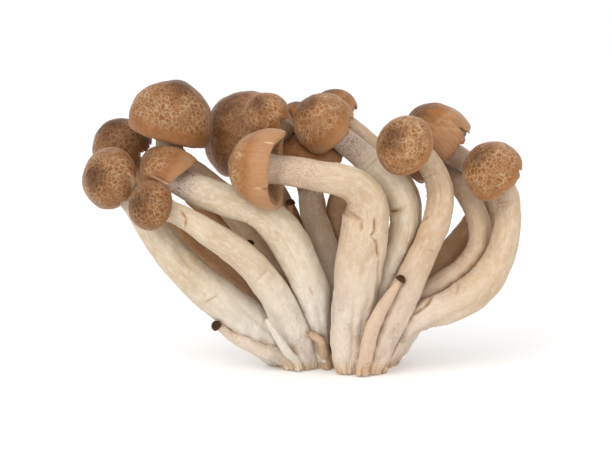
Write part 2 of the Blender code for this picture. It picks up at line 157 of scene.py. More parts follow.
def curve_through(knots, at, fine):
    """A smooth curve through the knots, read at finer places."""
    slopes = np.gradient(knots, at, axis=0)
    i = np.clip(np.searchsorted(at, fine, side="right") - 1, 0, len(at) - 2)
    span = (at[i + 1] - at[i])[:, None]
    t = (fine - at[i])[:, None] / span
    return ((2 * t**3 - 3 * t**2 + 1) * knots[i] + (t**3 - 2 * t**2 + t) * span * slopes[i]
            + (3 * t**2 - 2 * t**3) * knots[i + 1] + (t**3 - t**2) * span * slopes[i + 1])


def lumps(points, size, seed, octaves=2):
    """Soft random heights from -1 to 1 at points in millimetres."""
    shift = Vector((seed * 7.13, seed * 3.71, seed * 5.37))
    flat = points.reshape(-1, 3) / size
    heights = [noise.fractal(Vector(p) + shift, 1.0, 2.0, octaves) for p in flat]
    return np.array(heights).reshape(points.shape[:-1])


class StemShape:
    """The middle line and walls of a plain stem, carried down to the ground."""

    def __init__(self, node, columns, spacing, toe):
        points, near = merged_points(node)
        lowest = points[:, 2].min()
        rows = rows_from(np.flatnonzero(points[:, 2] < lowest + 0.01).tolist(), near)
        rings = [points[row] for row in rows if len(row) > 2]
        middles = np.array([ring.mean(axis=0) for ring in rings])
        ahead, aside = around(unit(np.gradient(middles, axis=0)))
        turns = np.linspace(-math.pi, math.pi, columns, endpoint=False)
        walls = []
        for ring, middle, a, b in zip(rings, middles, ahead, aside):
            x, y = (ring - middle) @ a, (ring - middle) @ b
            angle = np.arctan2(y, x)
            order = np.argsort(angle)
            walls.append(np.interp(turns, angle[order], np.hypot(x, y)[order], period=2 * math.pi))
        walls = np.array(walls)
        self.cut = middles[0, 2]
        lean = unit(middles[1] - middles[0])
        slide = -0.9 * self.cut * lean[:2] / max(lean[2], 0.35)
        below = []
        for share in (1.0, 0.66, 0.33):
            ease = share * (2 - share)
            below.append((middles[0, 0] + slide[0] * ease, middles[0, 1] + slide[1] * ease,
                          self.cut * (1 - share) + 0.3 * share))
        middles = np.vstack([below, middles])
        walls = np.vstack([walls[0] * (1 - toe), walls[0] * (1 - 0.45 * toe), walls[0] * (1 - 0.1 * toe),
                           walls])
        at = np.concatenate([[0], np.cumsum(np.linalg.norm(np.diff(middles, axis=0), axis=1))])
        self.length = at[-1]
        self.at = np.linspace(0, self.length, int(self.length / spacing))
        self.middles = curve_through(middles, at, self.at)
        self.turns = turns
        self.ahead, self.aside = around(unit(np.gradient(self.middles, axis=0)))
        fine = np.array([np.interp(self.at, at, wall) for wall in walls.T]).T
        fine = blurred(fine, 1.7 / spacing, 0, False)
        self.walls = blurred(fine, columns / 40, 1, True)
        self.tip = middles[-1]

    def surface(self, walls):
        """Points of the wall, row by row from the ground upwards."""
        c, s = np.cos(self.turns), np.sin(self.turns)
        return (self.middles[:, None] + walls[..., None]
                * (c[None, :, None] * self.ahead[:, None] + s[None, :, None] * self.aside[:, None]))

    def bend(self):
        """How sharply the stem bends at each row, in turns of arc a millimetre, and to which side."""
        way = unit(np.gradient(self.middles, axis=0))
        turning = np.gradient(way, self.at, axis=0)
        amount = np.linalg.norm(turning, axis=1)
        towards = np.arctan2((turning * self.aside).sum(axis=1), (turning * self.ahead).sum(axis=1))
        return amount, towards


class CapShape:
    """The axis, size and pressed places of a plain cap."""

    def __init__(self, node, stem_tip):
        points, near = merged_points(node)
        busy = max(len(n) for n in near)
        crowns = [i for i, n in enumerate(near) if len(n) >= busy - 1 and len(n) > 8]
        crown = max(crowns, key=lambda i: np.linalg.norm(points[i] - stem_tip))
        rows = rows_from([crown], near)
        gills = points[rows[-1]].mean(axis=0)
        self.axis = unit(points[crown] - gills)
        self.ahead, self.aside = around(self.axis)
        widest = points[rows[DOME_ROWS]] - gills
        self.radius = np.median(np.linalg.norm(np.cross(widest, self.axis), axis=1))
        self.middle = gills - self.axis * SEAT_SHARE * self.radius
        heights = []
        for k in range(1, 5):
            up = (points[rows[k]] - self.middle) @ self.axis
            heights.append(np.median(up / math.cos(math.radians(k * DOME_STEP))))
        self.height = float(np.median(heights))
        self.lip = LIP_SHARE * self.radius
        self.heart = self.middle + PRESS_HEIGHT * self.height * self.axis
        self.pressed = self.read_pressed(points, rows)

    def plain_row(self, k):
        """Distance from the axis and height of a row of the plain solid."""
        r, lip = self.radius, self.lip
        if k <= DOME_ROWS:
            turn = math.radians(k * DOME_STEP)
            return r * math.sin(turn), self.height * math.cos(turn)
        return [(0.96 * r, -0.6 * lip), (0.87 * r, -lip), (0.78 * r, -0.6 * lip),
                (0.62 * r, SEAT_SHARE * r)][k - DOME_ROWS - 1]

    def read_pressed(self, points, rows):
        """How far each point of the plain solid was pressed in, as a share, at each row and angle."""
        turns = np.linspace(-math.pi, math.pi, PRESS_COLUMNS, endpoint=False)
        table = []
        for k, row in enumerate(rows):
            reach, height = self.plain_row(k)
            offset = points[row] - self.heart
            x, y = offset @ self.ahead, offset @ self.aside
            full = math.hypot(reach, height - PRESS_HEIGHT * self.height)
            share = np.linalg.norm(offset, axis=1) / full
            angle = np.arctan2(y, x)
            order = np.argsort(angle)
            table.append(np.interp(turns, angle[order], share[order], period=2 * math.pi) if k else
                         np.full(PRESS_COLUMNS, share[0]))
        return np.minimum(blurred(np.array(table), 1.6, 1, True), 1.0)

    def press(self, row, turns):
        """The pressed share at fractional rows and angles."""
        col = (turns + math.pi) / (2 * math.pi) * PRESS_COLUMNS
        r0 = np.clip(row.astype(int), 0, len(self.pressed) - 2)
        f = np.clip(row - r0, 0, 1)
        c0 = np.floor(col).astype(int)
        g = col - c0
        t = self.pressed
        left, right = c0 % PRESS_COLUMNS, (c0 + 1) % PRESS_COLUMNS
        low = t[r0, left] * (1 - g) + t[r0, right] * g
        high = t[r0 + 1, left] * (1 - g) + t[r0 + 1, right] * g
        return low * (1 - f) + high * f

    def spokes(self, turns):
        """Directions square to the axis at some angles."""
        return np.cos(turns)[:, None] * self.ahead + np.sin(turns)[:, None] * self.aside

    def turn_towards(self, x, z):
        """The angle round the axis of the rim point nearest a place seen from the front."""
        turns = np.linspace(-math.pi, math.pi, 360, endpoint=False)
        rim = self.middle + self.radius * self.spokes(turns)
        return turns[np.argmin(np.hypot(rim[:, 0] - x, rim[:, 2] - z))]


# ---------------------------------------------------------------- making meshes


def grid_faces(rows, columns):
    """Quads of a closed sleeve of rows, facing outwards when columns run left round upward rows."""
    return [(i * columns + j, i * columns + (j + 1) % columns,
             (i + 1) * columns + (j + 1) % columns, (i + 1) * columns + j)
            for i in range(rows - 1) for j in range(columns)]


def sleeve_mesh(name, surface, bottom, top):
    """A mesh of rows of points, closed by a fan to a point at each end."""
    rows, columns = surface.shape[:2]
    points = np.vstack([surface.reshape(-1, 3), bottom, top]) * MM
    low, high = rows * columns, rows * columns + 1
    last = (rows - 1) * columns
    faces = grid_faces(rows, columns)
    faces += [((j + 1) % columns, j, low) for j in range(columns)]
    faces += [(last + j, last + (j + 1) % columns, high) for j in range(columns)]
    mesh = bpy.data.meshes.new(name)
    mesh.from_pydata(points.tolist(), [], faces)
    bm = bmesh.new()
    bm.from_mesh(mesh)
    if bm.calc_volume(signed=True) < 0:
        bmesh.ops.reverse_faces(bm, faces=bm.faces)
    bm.to_mesh(mesh)
    bm.free()
    mesh.shade_smooth()
    return mesh


def add_field(mesh, name, values, ends):
    """Stores a value or a vector on each point: the rows' own, then the two end points'."""
    flat = np.asarray(values, float)
    vector = flat.ndim == 3
    flat = flat.reshape(-1, 3) if vector else flat.ravel()
    full = np.concatenate([flat, np.asarray(ends, float).reshape((2, 3) if vector else 2)])
    kind = "FLOAT_VECTOR" if vector else "FLOAT"
    field = mesh.attributes.new(name, kind, "POINT")
    field.data.foreach_set("vector" if vector else "value", full.ravel())


def place(mesh, name, skin, node):
    """A finished piece that stands for a plain solid and takes its finish from a slot."""
    piece = bpy.data.objects.new(name, mesh)
    bpy.context.scene.collection.objects.link(piece)
    mesh.materials.clear()
    mesh.materials.append(skin)
    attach(piece, BODY)
    if node:
        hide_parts(node)
    return piece


# ---------------------------------------------------------------- materials


def linear(value):
    """A screen value from 0 to 255 as a share of light."""
    value /= 255
    return value / 12.92 if value <= 0.04045 else ((value + 0.055) / 1.055) ** 2.4


def seen(red, green, blue):
    """The colour of a surface that shows these screen values in the studio light."""
    return linear(red) / STUDIO_GAIN, linear(green) / STUDIO_GAIN, linear(blue) / STUDIO_GAIN, 1.0


def tint(red, green, blue):
    """A colour to multiply another by, given as screen values."""
    return linear(red), linear(green), linear(blue), 1.0


def fill_input(tree, socket, value):
    """Joins a socket to another, or gives it a value."""
    if isinstance(value, bpy.types.NodeSocket):
        tree.links.new(value, socket)
    else:
        socket.default_value = value


def add_node(tree, kind, inputs, settings):
    """A new node with its settings made and its inputs filled in."""
    made = tree.nodes.new(kind)
    for key, value in settings.items():
        setattr(made, key, value)
    for key, value in dict(inputs).items():
        fill_input(tree, made.inputs[key], value)
    return made


class Finish:
    """A node material, put together one named texture at a time."""

    def __init__(self, name):
        self.material = bpy.data.materials.new(name)
        self.material.use_nodes = True
        self.tree = self.material.node_tree
        self.shader = self.tree.nodes["Principled BSDF"]

    def node(self, kind, inputs, **settings):
        """A shader node of this kind."""
        return add_node(self.tree, "ShaderNode" + kind, inputs, settings)

    def field(self, name, output="Fac"):
        """A value or a vector that the mesh carries on its points."""
        return self.node("Attribute", {}, attribute_name=name).outputs[output]

    def stretched(self, vector, scale, shift=(0, 0, 0)):
        """A place scaled along each direction, then moved."""
        return self.node("Mapping", {"Vector": vector, "Scale": scale, "Location": shift}).outputs[0]

    def noise(self, vector, scale, detail=3.0, rough=0.5):
        """Soft random values about a half."""
        inputs = {"Vector": vector, "Scale": scale, "Detail": detail, "Roughness": rough}
        return self.node("TexNoise", inputs).outputs["Fac"]

    def band(self, value, low, high, start=0.0, end=1.0):
        """The value run from start to end between two limits, eased and held outside them."""
        inputs = {"Value": value, "From Min": low, "From Max": high, "To Min": start, "To Max": end}
        return self.node("MapRange", inputs, interpolation_type="SMOOTHSTEP").outputs[0]

    def calc(self, operation, a, b):
        """One step of arithmetic on two values."""
        return self.node("Math", {0: a, 1: b}, operation=operation).outputs[0]

    def times(self, a, b):
        """The product of two values."""
        return self.calc("MULTIPLY", a, b)

    def plus(self, a, b):
        """The sum of two values."""
        return self.calc("ADD", a, b)

    def minus(self, a, b):
        """The first value less the second."""
        return self.calc("SUBTRACT", a, b)

    def mix(self, share, a, b, blend="MIX"):
        """Colour a, with this share of colour b blended in."""
        made = self.node("Mix", {}, data_type="RGBA", blend_type=blend)
        for key, value in ((0, share), (6, a), (7, b)):      # the colour sockets of a Mix node
            fill_input(self.tree, made.inputs[key], value)
        return made.outputs[2]

    def done(self, colour, roughness, height, depth, even):
        """Joins colour, roughness and relief to the shader; even finishes go on its own sockets."""
        link = self.tree.links.new
        link(colour, self.shader.inputs["Base Color"])
        link(roughness, self.shader.inputs["Roughness"])
        bump = self.node("Bump", {"Height": height, "Distance": depth * MM, "Strength": 1.0})
        link(bump.outputs[0], self.shader.inputs["Normal"])
        for key, value in even.items():
            self.shader.inputs[key].default_value = value
        return self.material


def flesh_finish(name, seed, look, painted_shade, rosy, neck_length):
    """Pale stem flesh: fibres along it, a downy foot, a rosy speckled neck under the cap, with painted shade
    where another stem touches it and over the whole of a stem that lies behind the others.
    """
    f = Finish(name)
    grain = f.field("grain", "Vector")
    foot_gap, cap_gap = f.field("from_foot"), f.field("from_cap")
    crease, contact_shade = f.field("crease"), f.field("contact_shade")
    shift = (seed * 3.1, seed * 5.3, seed * 7.7)
    fibres = f.noise(f.stretched(grain, (1.5, 1.5, 0.07), shift), 1.0, 5.0, 0.6)
    threads = f.noise(f.stretched(grain, (5.0, 5.0, 0.22), shift), 1.0, 3.0, 0.6)
    clouds = f.noise(f.stretched(grain, (0.16, 0.16, 0.09), shift), 1.0, 3.0)
    down = f.noise(f.stretched(grain, (1.0, 1.0, 0.7), shift), 1.3, 5.0, 0.7)
    specks = f.noise(f.stretched(grain, (1.0, 1.0, 0.6), shift), 2.6, 3.0, 0.6)

    colour = f.mix(f.band(clouds, 0.36, 0.64), look.flesh_colour, look.flesh_shade_colour)
    colour = f.mix(f.band(fibres, 0.50, 0.74, 0.0, 0.5), colour, look.fibre_colour)
    colour = f.mix(f.band(threads, 0.52, 0.75, 0.0, 0.35), colour, look.fibre_colour)
    frost = f.noise(f.stretched(grain, (0.7, 0.7, 0.35), shift), 1.0, 5.0, 0.7)
    colour = f.mix(f.band(frost, 0.46, 0.62, 0.0, 0.4), colour, look.down_colour)
    downy = f.times(f.band(foot_gap, 14.0, 46.0, 1.0, 0.0), f.band(down, 0.34, 0.56, 0.5, 1.0))
    colour = f.mix(downy, colour, look.down_colour)
    greys = f.times(f.band(foot_gap, 16.0, 34.0, 0.6, 0.0), f.band(clouds, 0.48, 0.6))
    greys = f.times(greys, f.band(down, 0.4, 0.6))
    colour = f.mix(greys, colour, look.grey_colour)
    neck = f.band(cap_gap, 0.25 * neck_length, neck_length, 0.95 * rosy, 0.0)
    colour = f.mix(neck, colour, look.neck_colour)
    speckled = f.times(f.band(cap_gap, 0.5, 2.5, 0.4, 1.0),
                       f.band(cap_gap, 0.4 * neck_length, 0.85 * neck_length, 1.0, 0.0))
    dots = f.times(f.band(specks, 0.52, 0.60, 0.0, 0.85 * rosy), speckled)
    colour = f.mix(dots, colour, look.speck_colour)
    earth = f.times(f.band(foot_gap, 0.5, 7.0, 0.9, 0.0), f.band(fibres, 0.42, 0.6, 0.1, 1.0))
    colour = f.mix(earth, colour, look.toe_colour)
    # Painted contact shade: darker and browner where another stem touches this one, in the same colour as the
    # furrow stain.
    painted_contact_shade = f.times(contact_shade, f.band(down, 0.3, 0.6, 0.7, 0.25))
    colour = f.mix(painted_contact_shade, colour, look.stain_and_contact_shade_colour)
    colour = f.mix(crease, colour, look.stain_and_contact_shade_colour)
    # Painted shade: the whole stem is multiplied darker and warmer by its share, standing in for the shade of
    # the stems around it.
    colour = f.mix(painted_shade, colour, look.painted_shade_colour, "MULTIPLY")
    rough = f.band(fibres, 0.3, 0.7, 0.42, 0.6)
    relief = f.plus(f.times(fibres, 0.8), f.times(threads, 0.35))
    relief = f.plus(relief, f.times(f.times(down, downy), 0.7))
    relief = f.plus(relief, f.times(frost, 0.5))
    relief = f.minus(relief, f.times(dots, 0.35))
    return f.done(colour, rough, relief, 0.22, {"Subsurface Weight": 0.12, "Subsurface Scale": 0.0010,
                                                "Subsurface Radius": (1.0, 0.6, 0.35),
                                                "Specular IOR Level": 0.3})


def cap_finish(name, seed, look, marbling, dark, bare, shade):
    """Cap skin: brown islands in a pale net, darker at the crown, smooth and light brown at the rim."""
    f = Finish(name)
    grain = f.field("grain", "Vector")
    reach, crease, inner = f.field("reach"), f.field("crease"), f.field("inner")
    streaks = f.noise(f.field("spokes", "Vector"), 2.4, 4.0, 0.65)
    moved = f.stretched(grain, (1, 1, 1), (seed * 11.3, seed * 5.9, seed * 3.3))
    wander = f.node("TexNoise", {"Vector": moved, "Scale": 0.8, "Detail": 3.0}).outputs["Color"]
    wander = f.node("VectorMath", {0: wander, 1: (0.5, 0.5, 0.5)}, operation="SUBTRACT").outputs[0]
    wander = f.node("VectorMath", {0: wander, "Scale": 1.3}, operation="SCALE").outputs[0]
    bent = f.node("VectorMath", {0: moved, 1: wander}, operation="ADD").outputs[0]
    net = f.node("TexVoronoi", {"Vector": bent, "Scale": 0.68, "Randomness": 1.0},
                 feature="DISTANCE_TO_EDGE").outputs["Distance"]
    islands = f.node("TexVoronoi", {"Vector": bent, "Scale": 0.68, "Randomness": 1.0}).outputs["Color"]
    small_net = f.node("TexVoronoi", {"Vector": bent, "Scale": 1.5, "Randomness": 1.0},
                       feature="DISTANCE_TO_EDGE").outputs["Distance"]
    clouds = f.noise(moved, 0.22, 3.0)
    mottle = f.noise(moved, 0.75, 4.0, 0.6)
    fine = f.noise(moved, 3.2, 4.0, 0.65)

    patchy = f.band(clouds, 0.36, 0.56, 0.3, 1.0)
    width = f.band(mottle, 0.35, 0.65, 0.0, 0.04)
    lines = f.times(f.band(f.minus(net, width), 0.0, 0.09, 1.0, 0.0), patchy)
    haired = f.times(f.band(mottle, 0.42, 0.58), f.band(reach, 0.25, 0.6, 0.2, 1.0))
    hairs = f.times(f.band(small_net, 0.02, 0.12, 0.8, 0.0), haired)
    lines = f.calc("MAXIMUM", lines, hairs)
    apron = f.band(f.plus(reach, f.times(mottle, 0.16)), bare, bare + 0.16, 1.0, 0.0)
    lines = f.times(f.times(lines, apron), marbling)
    tones = f.node("SeparateColor", {"Color": islands}).outputs[0]
    spots = f.times(f.band(net, 0.08, 0.26), f.band(tones, 0.2, 0.8, 0.1, 1.0))
    spots = f.times(f.times(spots, apron), 0.5 + 0.5 * marbling)
    colour = f.mix(f.band(clouds, 0.3, 0.7), look.cap_colour, look.cap_warm_colour)
    colour = f.mix(f.band(mottle, 0.42, 0.66, 0.0, 0.45), colour, look.cap_spot_colour)
    colour = f.mix(f.times(spots, 0.7), colour, look.cap_spot_colour)
    colour = f.mix(f.times(lines, 0.9), colour, look.cap_net_colour)
    topmost = f.plus(reach, f.times(clouds, 0.25))
    crown = f.times(f.band(topmost, 0.14, 0.6, 1.0, 0.0), f.band(mottle, 0.3, 0.6, 0.6, 1.0))
    colour = f.mix(f.times(crown, 0.45), colour, look.cap_crown_colour)
    colour = f.mix(crown, colour, look.crown_tint, "MULTIPLY")
    rim = f.band(reach, min(bare, 0.8), min(bare + 0.22, 0.99), 0.0, 0.75)
    colour = f.mix(rim, colour, look.cap_rim_colour)
    colour = f.mix(f.band(fine, 0.5, 0.8, 0.0, 0.35), colour, look.cap_spot_colour)
    colour = f.mix(f.band(streaks, 0.42, 0.72, 0.0, 0.6 - 0.4 * marbling), colour, look.cap_spot_colour)
    colour = f.mix(dark, colour, shade, "MULTIPLY")
    colour = f.mix(f.band(reach, 0.972, 0.995, 0.0, 0.4), colour, look.torn_colour)
    colour = f.mix(crease, colour, look.torn_colour)
    colour = f.mix(inner, colour, look.gill_colour)
    rough = f.band(fine, 0.3, 0.7, 0.34, 0.5)
    relief = f.plus(f.times(lines, -0.5), f.times(fine, 0.35))
    relief = f.plus(relief, f.times(streaks, 1.1 - 0.8 * marbling))
    relief = f.plus(relief, f.times(mottle, 0.6))
    return f.done(colour, rough, relief, 0.10, {"Subsurface Weight": 0.1, "Subsurface Scale": 0.001,
                                                "Subsurface Radius": (1.0, 0.4, 0.2),
                                                "Specular IOR Level": 0.16, "Sheen Weight": 0.12,
                                                "Sheen Roughness": 0.35})


def gill_finish(look):
    """The blades under the caps: cream, with browner streaks."""
    f = Finish("gill_flesh")
    spot = f.node("TexCoord", {}).outputs["Object"]
    streaks = f.noise(f.stretched(spot, (900, 900, 900)), 1.0, 3.0)
    colour = f.mix(f.band(streaks, 0.3, 0.7), look.gill_colour, look.gill_shade_colour)
    return f.done(colour, f.band(streaks, 0.2, 0.8, 0.5, 0.65), streaks, 0.05,
                  {"Subsurface Weight": 0.1, "Subsurface Scale": 0.001})


def foot_finish(look):
    """The joined foot: white down between the stems, light brown and fibrous at the cut."""
    f = Finish("foot_flesh")
    spot = f.node("TexCoord", {}).outputs["Object"]
    height = f.node("SeparateXYZ", {"Vector": spot}).outputs["Z"]
    fibres = f.noise(f.stretched(spot, (900, 900, 160)), 1.0, 5.0, 0.6)
    clouds = f.noise(f.stretched(spot, (180, 180, 180)), 1.0, 3.0)
    colour = f.mix(f.band(clouds, 0.35, 0.65), look.down_colour, look.flesh_shade_colour)
    colour = f.mix(f.band(fibres, 0.45, 0.65, 0.0, 0.7), colour, look.toe_colour)
    colour = f.mix(f.band(height, 0.5 * MM, 3.0 * MM, 0.7, 0.0), colour, look.toe_colour)
    return f.done(colour, f.band(fibres, 0.3, 0.7, 0.55, 0.8), fibres, 0.3, {})


# ---------------------------------------------------------------- the growth of each piece

# How much painted shade each stem gets, darker and warmer where it lies behind or beside the others, and how
# much its foot narrows to a toe.
STEM_HABITS = {
    "front_arched": (0.22, 0.35), "left_long": (0.0, 0.25), "left_small": (0.08, 0.15),
    "left_outer": (0.0, 0.10), "left_rear": (0.75, 0.1), "left_tall": (0.4, 0.1),
    "big_rear": (0.6, 0.1), "top_small": (0.5, 0.1), "rear_mid": (0.6, 0.1),
    "centre_top": (0.0, 0.2), "centre_rear": (0.3, 0.1), "right_front": (0.32, 0.25),
    "right_broad": (0.25, 0.1), "right_tucked": (0.3, 0.1), "right_outer": (0.26, 0.2),
    "right_rear": (0.6, 0.1), "centre_low": (0.15, 0.1), "back_left": (0.6, 0.1),
    "back_right": (0.4, 0.1), "back_low": (0.3, 0.1),
}

# How far the rosy neck runs down a stem in millimetres, where it isn't the usual.
NECKS = {"front_arched": 23.0, "centre_top": 22.0, "right_front": 9.0, "left_small": 4.0, "left_long": 11.0,
         "right_outer": 13.0}

# How marbled each cap is, how dark, and how far down its bare margin starts.
CAP_HABITS = {
    "front_arched": (0.85, 0.0, 0.60), "left_long": (0.9, 0.25, 0.60), "left_small": (1.0, 0.45, 0.85),
    "left_outer": (1.0, 0.3, 0.85), "left_rear": (1.0, 0.6, 0.80), "left_tall": (1.0, 0.3, 0.80),
    "big_rear": (0.7, 0.1, 0.95), "top_small": (0.9, 0.15, 0.72), "rear_mid": (0.2, 0.3, 0.6),
    "centre_top": (0.9, 0.05, 0.70), "centre_rear": (0.3, 0.05, 0.6), "right_front": (1.0, 0.05, 0.80),
    "right_broad": (0.1, 0.05, 0.4), "right_tucked": (0.3, 0.3, 0.6), "right_outer": (1.0, 0.05, 0.80),
    "right_rear": (0.7, 0.2, 0.7), "centre_low": (0.2, 0.15, 0.6), "back_left": (0.6, 1.0, 0.7),
    "back_right": (0.6, 0.1, 0.7), "back_low": (0.8, 0.05, 0.7),
}

# Stems whose creases show best, and so get more points.
DETAILED_STEMS = ("front_arched", "left_small", "left_long", "left_outer", "right_outer", "centre_top")

# Places where the rim of a cap is drawn up, or hangs down: the rise in millimetres, the way the place
# faces from the axis, and how narrow it is.
SADDLES = {
    "front_arched": [(3.4, (0.0, 1.0, 0.3), 2), (0.8, (0.0, -1.0, 0.0), 2), (-2.8, (0.0, 0.0, 1.0), 8),
                     (-1.0, (0.0, 0.0, -1.0), 4)],
    "left_long": [(4.6, (0.2, -0.7, -1.0), 2)],
}

# How much deeper than the others' the gills of a cap lie, as a share of its radius.
HOLLOWS = {"front_arched": 0.30, "left_long": 0.30}

# Tears in a cap's rim: a place near it seen from the front in millimetres, the width in degrees and
# the depth as a share of the way to the crown.
RIM_TEARS = {
    "front_arched": [(-18.4, 70.2, 1.6, 0.10), (-21.6, 57.6, 1.8, 0.11)],
    "left_long": [(-47.5, 55.5, 6, 0.12)],
    "left_outer": [(-63.5, 51.5, 9, 0.12)],
    "centre_top": [(2.6, 76.0, 6, 0.12), (4.0, 72.5, 5, 0.10)],
    "centre_rear": [(5.6, 76.5, 8, 0.18), (5.0, 73.5, 6, 0.14)],
    "right_broad": [(37.4, 71.0, 9, 0.28)],
    "top_small": [(-18.5, 76.2, 13, 0.30)],
    "right_outer": [(52.6, 61.0, 6, 0.10), (47.5, 54.5, 7, 0.12)],
    "left_rear": [(-58.0, 62.0, 6, 0.14)],
}

# Stretches of ragged rim: a place near the middle of it, its half width in degrees and its depth.
RAGGED_RIMS = {
    "centre_top": (4.0, 74.0, 28, 0.11),
    "centre_rear": (5.5, 75.0, 34, 0.15),
    "left_outer": (-62.5, 54.5, 40, 0.09),
    "left_rear": (-59.0, 66.0, 34, 0.14),
    "right_outer": (50.0, 56.5, 60, 0.05),
    "left_long": (-46.0, 57.0, 36, 0.05),
    "right_broad": (38.0, 68.0, 40, 0.05),
    "left_tall": (-50.0, 70.0, 90, 0.018),
}

# Swellings of a cap seen from the front: the middle in millimetres, the reach and the height.
CAP_SWELLINGS = {
    "left_tall": [((-60.0, 82.0), 6.0, 1.3), ((-41.5, 86.0), 4.0, -0.6)],
    "centre_low": [((-15.5, 66.0), 4.5, 1.6)],
}

# Furrows seen from the front: the two ends in millimetres, the width, the depth, and how strongly
# the furrow is coloured.
STEM_FURROWS = {
    "front_arched": [((9.6, 47.8), (9.7, 44.2), 0.40, 0.9, 1.0),
                     ((9.7, 44.2), (8.5, 43.0), 0.35, 0.8, 0.9),
                     ((8.5, 43.0), (10.2, 40.7), 0.35, 0.8, 0.5),
                     ((10.2, 40.7), (10.8, 36.4), 0.45, 1.0, 1.0),
                     ((11.1, 35.6), (11.1, 28.7), 0.35, 0.6, 0.5),
                     ((11.1, 28.7), (10.4, 23.0), 0.5, 0.5, 0.2),
                     ((9.6, 38.3), (7.5, 34.8), 0.8, 0.5, 0.15),
                     ((6.7, 34.0), (6.3, 30.8), 0.9, 0.9, 0.0),
                     ((0.7, 51.7), (2.5, 49.9), 0.8, 1.2, 0.45),
                     ((2.5, 49.9), (5.6, 47.0), 0.8, 1.2, 0.40),
                     ((5.6, 47.0), (5.9, 44.4), 0.5, 0.7, 0.8),
                     ((4.0, 24.0), (3.2, 4.0), 0.8, 0.6, 0.1),
                     ((8.4, 26.0), (5.6, 9.0), 0.7, 0.4, 0.1)],
    "centre_top": [((13.8, 48.2), (17.0, 49.2), 0.6, 1.0, 1.0), ((16.6, 49.2), (19.6, 50.4), 0.5, 0.5, 0.3)],
    "left_outer": [((-49.0, 40.5), (-44.5, 33.0), 0.9, 0.3, 0.1),
                   ((-40.0, 21.9), (-36.2, 24.3), 0.35, 0.35, 0.7),
                   ((-30.0, 20.5), (-16.0, 7.0), 0.8, 0.4, 0.15)],
    "left_small": [((-45.7, 50.4), (-44.4, 48.4), 0.40, 0.6, 1.0),
                   ((-44.4, 48.4), (-45.0, 45.6), 0.40, 0.6, 1.0),
                   ((-21.0, 33.0), (-24.5, 29.5), 0.5, 0.35, 0.3),
                   ((-18.0, 24.0), (-10.0, 5.0), 0.8, 0.35, 0.1)],
    "left_long": [((-18.6, 44.2), (-12.8, 33.4), 0.8, 0.35, 0.15),
                  ((-9.4, 27.0), (-8.0, 24.0), 0.35, 0.3, 0.6),
                  ((-7.0, 22.0), (-4.6, 6.0), 0.9, 0.5, 0.1)],
    "right_front": [((25.6, 47.6), (23.6, 45.6), 0.35, 0.35, 0.8),
                    ((27.4, 37.4), (24.8, 38.2), 0.35, 0.3, 0.6),
                    ((28.6, 58.5), (29.2, 53.0), 0.5, 0.3, 0.2),
                    ((21.0, 30.0), (14.0, 12.0), 0.8, 0.4, 0.05)],
    "right_outer": [((27.0, 23.6), (24.6, 20.8), 0.5, 1.2, 1.0), ((24.6, 20.8), (21.6, 18.6), 0.4, 0.8, 0.7),
                    ((34.8, 27.4), (34.0, 24.6), 0.4, 0.3, 0.6),
                    ((40.0, 22.0), (22.0, 12.5), 1.0, 0.5, 0.1), ((28.0, 15.5), (17.0, 5.0), 0.7, 0.4, 0.2)],
}

# Soft swellings seen from the front: the middle in millimetres, the reach and the height.
STEM_SWELLINGS = {
    "front_arched": [((1.6, 49.2), 3.6, 1.4),
                     ((0.4, 40.0), 5.0, 0.7),
                     ((9.2, 41.9), 0.9, 0.5),
                     ((8.0, 40.0), 2.6, 0.5)],
    "centre_top": [((17.0, 54.0), 4.0, 0.6)],
    "right_outer": [((28.4, 22.4), 1.8, 0.7)],
    "left_outer": [((-29.0, 22.0), 5.0, 0.5)],
}

# Furrows of a cap, given as for a stem. A negative depth stands proud of the skin.
CAP_FURROWS = {
    "left_long": [((-54.5, 60.6), (-47.0, 57.0), 0.35, 0.35, 0.7)],
    "front_arched": [((-22.0, 70.8), (-19.2, 70.5), 0.22, 0.2, 0.95),
                     ((-24.4, 58.1), (-22.0, 57.6), 0.26, 0.3, 0.95)],
    "right_broad": [((27.5, 74.0), (34.5, 78.5), 0.7, 0.35, 0.16),
                    ((27.5, 73.4), (38.5, 72.0), 0.6, 0.4, 0.14),
                    ((28.5, 76.0), (34.0, 74.2), 0.5, 0.3, 0.12),
                    ((21.5, 76.2), (27.8, 73.6), 0.5, 0.25, 0.12)],
    "left_outer": [((-61.8, 61.2), (-60.8, 60.0), 0.25, 0.2, 0.9),
                   ((-60.4, 59.6), (-59.6, 54.6), 1.1, -0.3, 0.9)],
}

# How much painted shade each undergrown stem gets, darker and warmer where it lies behind the others, and its
# width as a share of its plain solid's.
PINS = {"pin_left_edge": (0.25, 0.95), "pin_right_gap": (0.5, 0.95), "pin_dark_gap": (0.8, 0.9),
        "pin_dark_rear": (0.8, 0.9), "pin_pale": (0.0, 0.75), "pin_folded": (0.6, 0.85),
        "pin_sliver": (0.5, 0.9), "stub_right_foot": (0.35, 0.9), "stub_behind_arch": (0.6, 1.0),
        "stub_dark_left": (0.85, 1.0)}


def names_of(prefix):
    """The mushrooms that have a plain solid with this prefix, without pins."""
    found = sorted(n[len(prefix):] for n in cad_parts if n.startswith(prefix))
    return [name for name in found if not name.startswith("pin")]


def furrow_depths(points, front, furrows):
    """Depth in millimetres and colour share of the furrows at points on the front."""
    depth = np.zeros(points.shape[:-1])
    stain = np.zeros(points.shape[:-1])
    flat = points[..., [0, 2]]
    for a, b, width, deep, colour in furrows:
        a, b = np.array(a), np.array(b)
        run = b - a
        t = np.clip(((flat - a) @ run) / (run @ run), 0, 1)
        away = np.linalg.norm(flat - (a + t[..., None] * run), axis=-1)
        ends = 1 - 0.6 * np.abs(2 * t - 1) ** 3
        depth += deep * (hump(away, width) * ends * front)
        stain = np.maximum(stain, colour * hump(away, 0.7 * width) * ends * front)
    return depth, stain


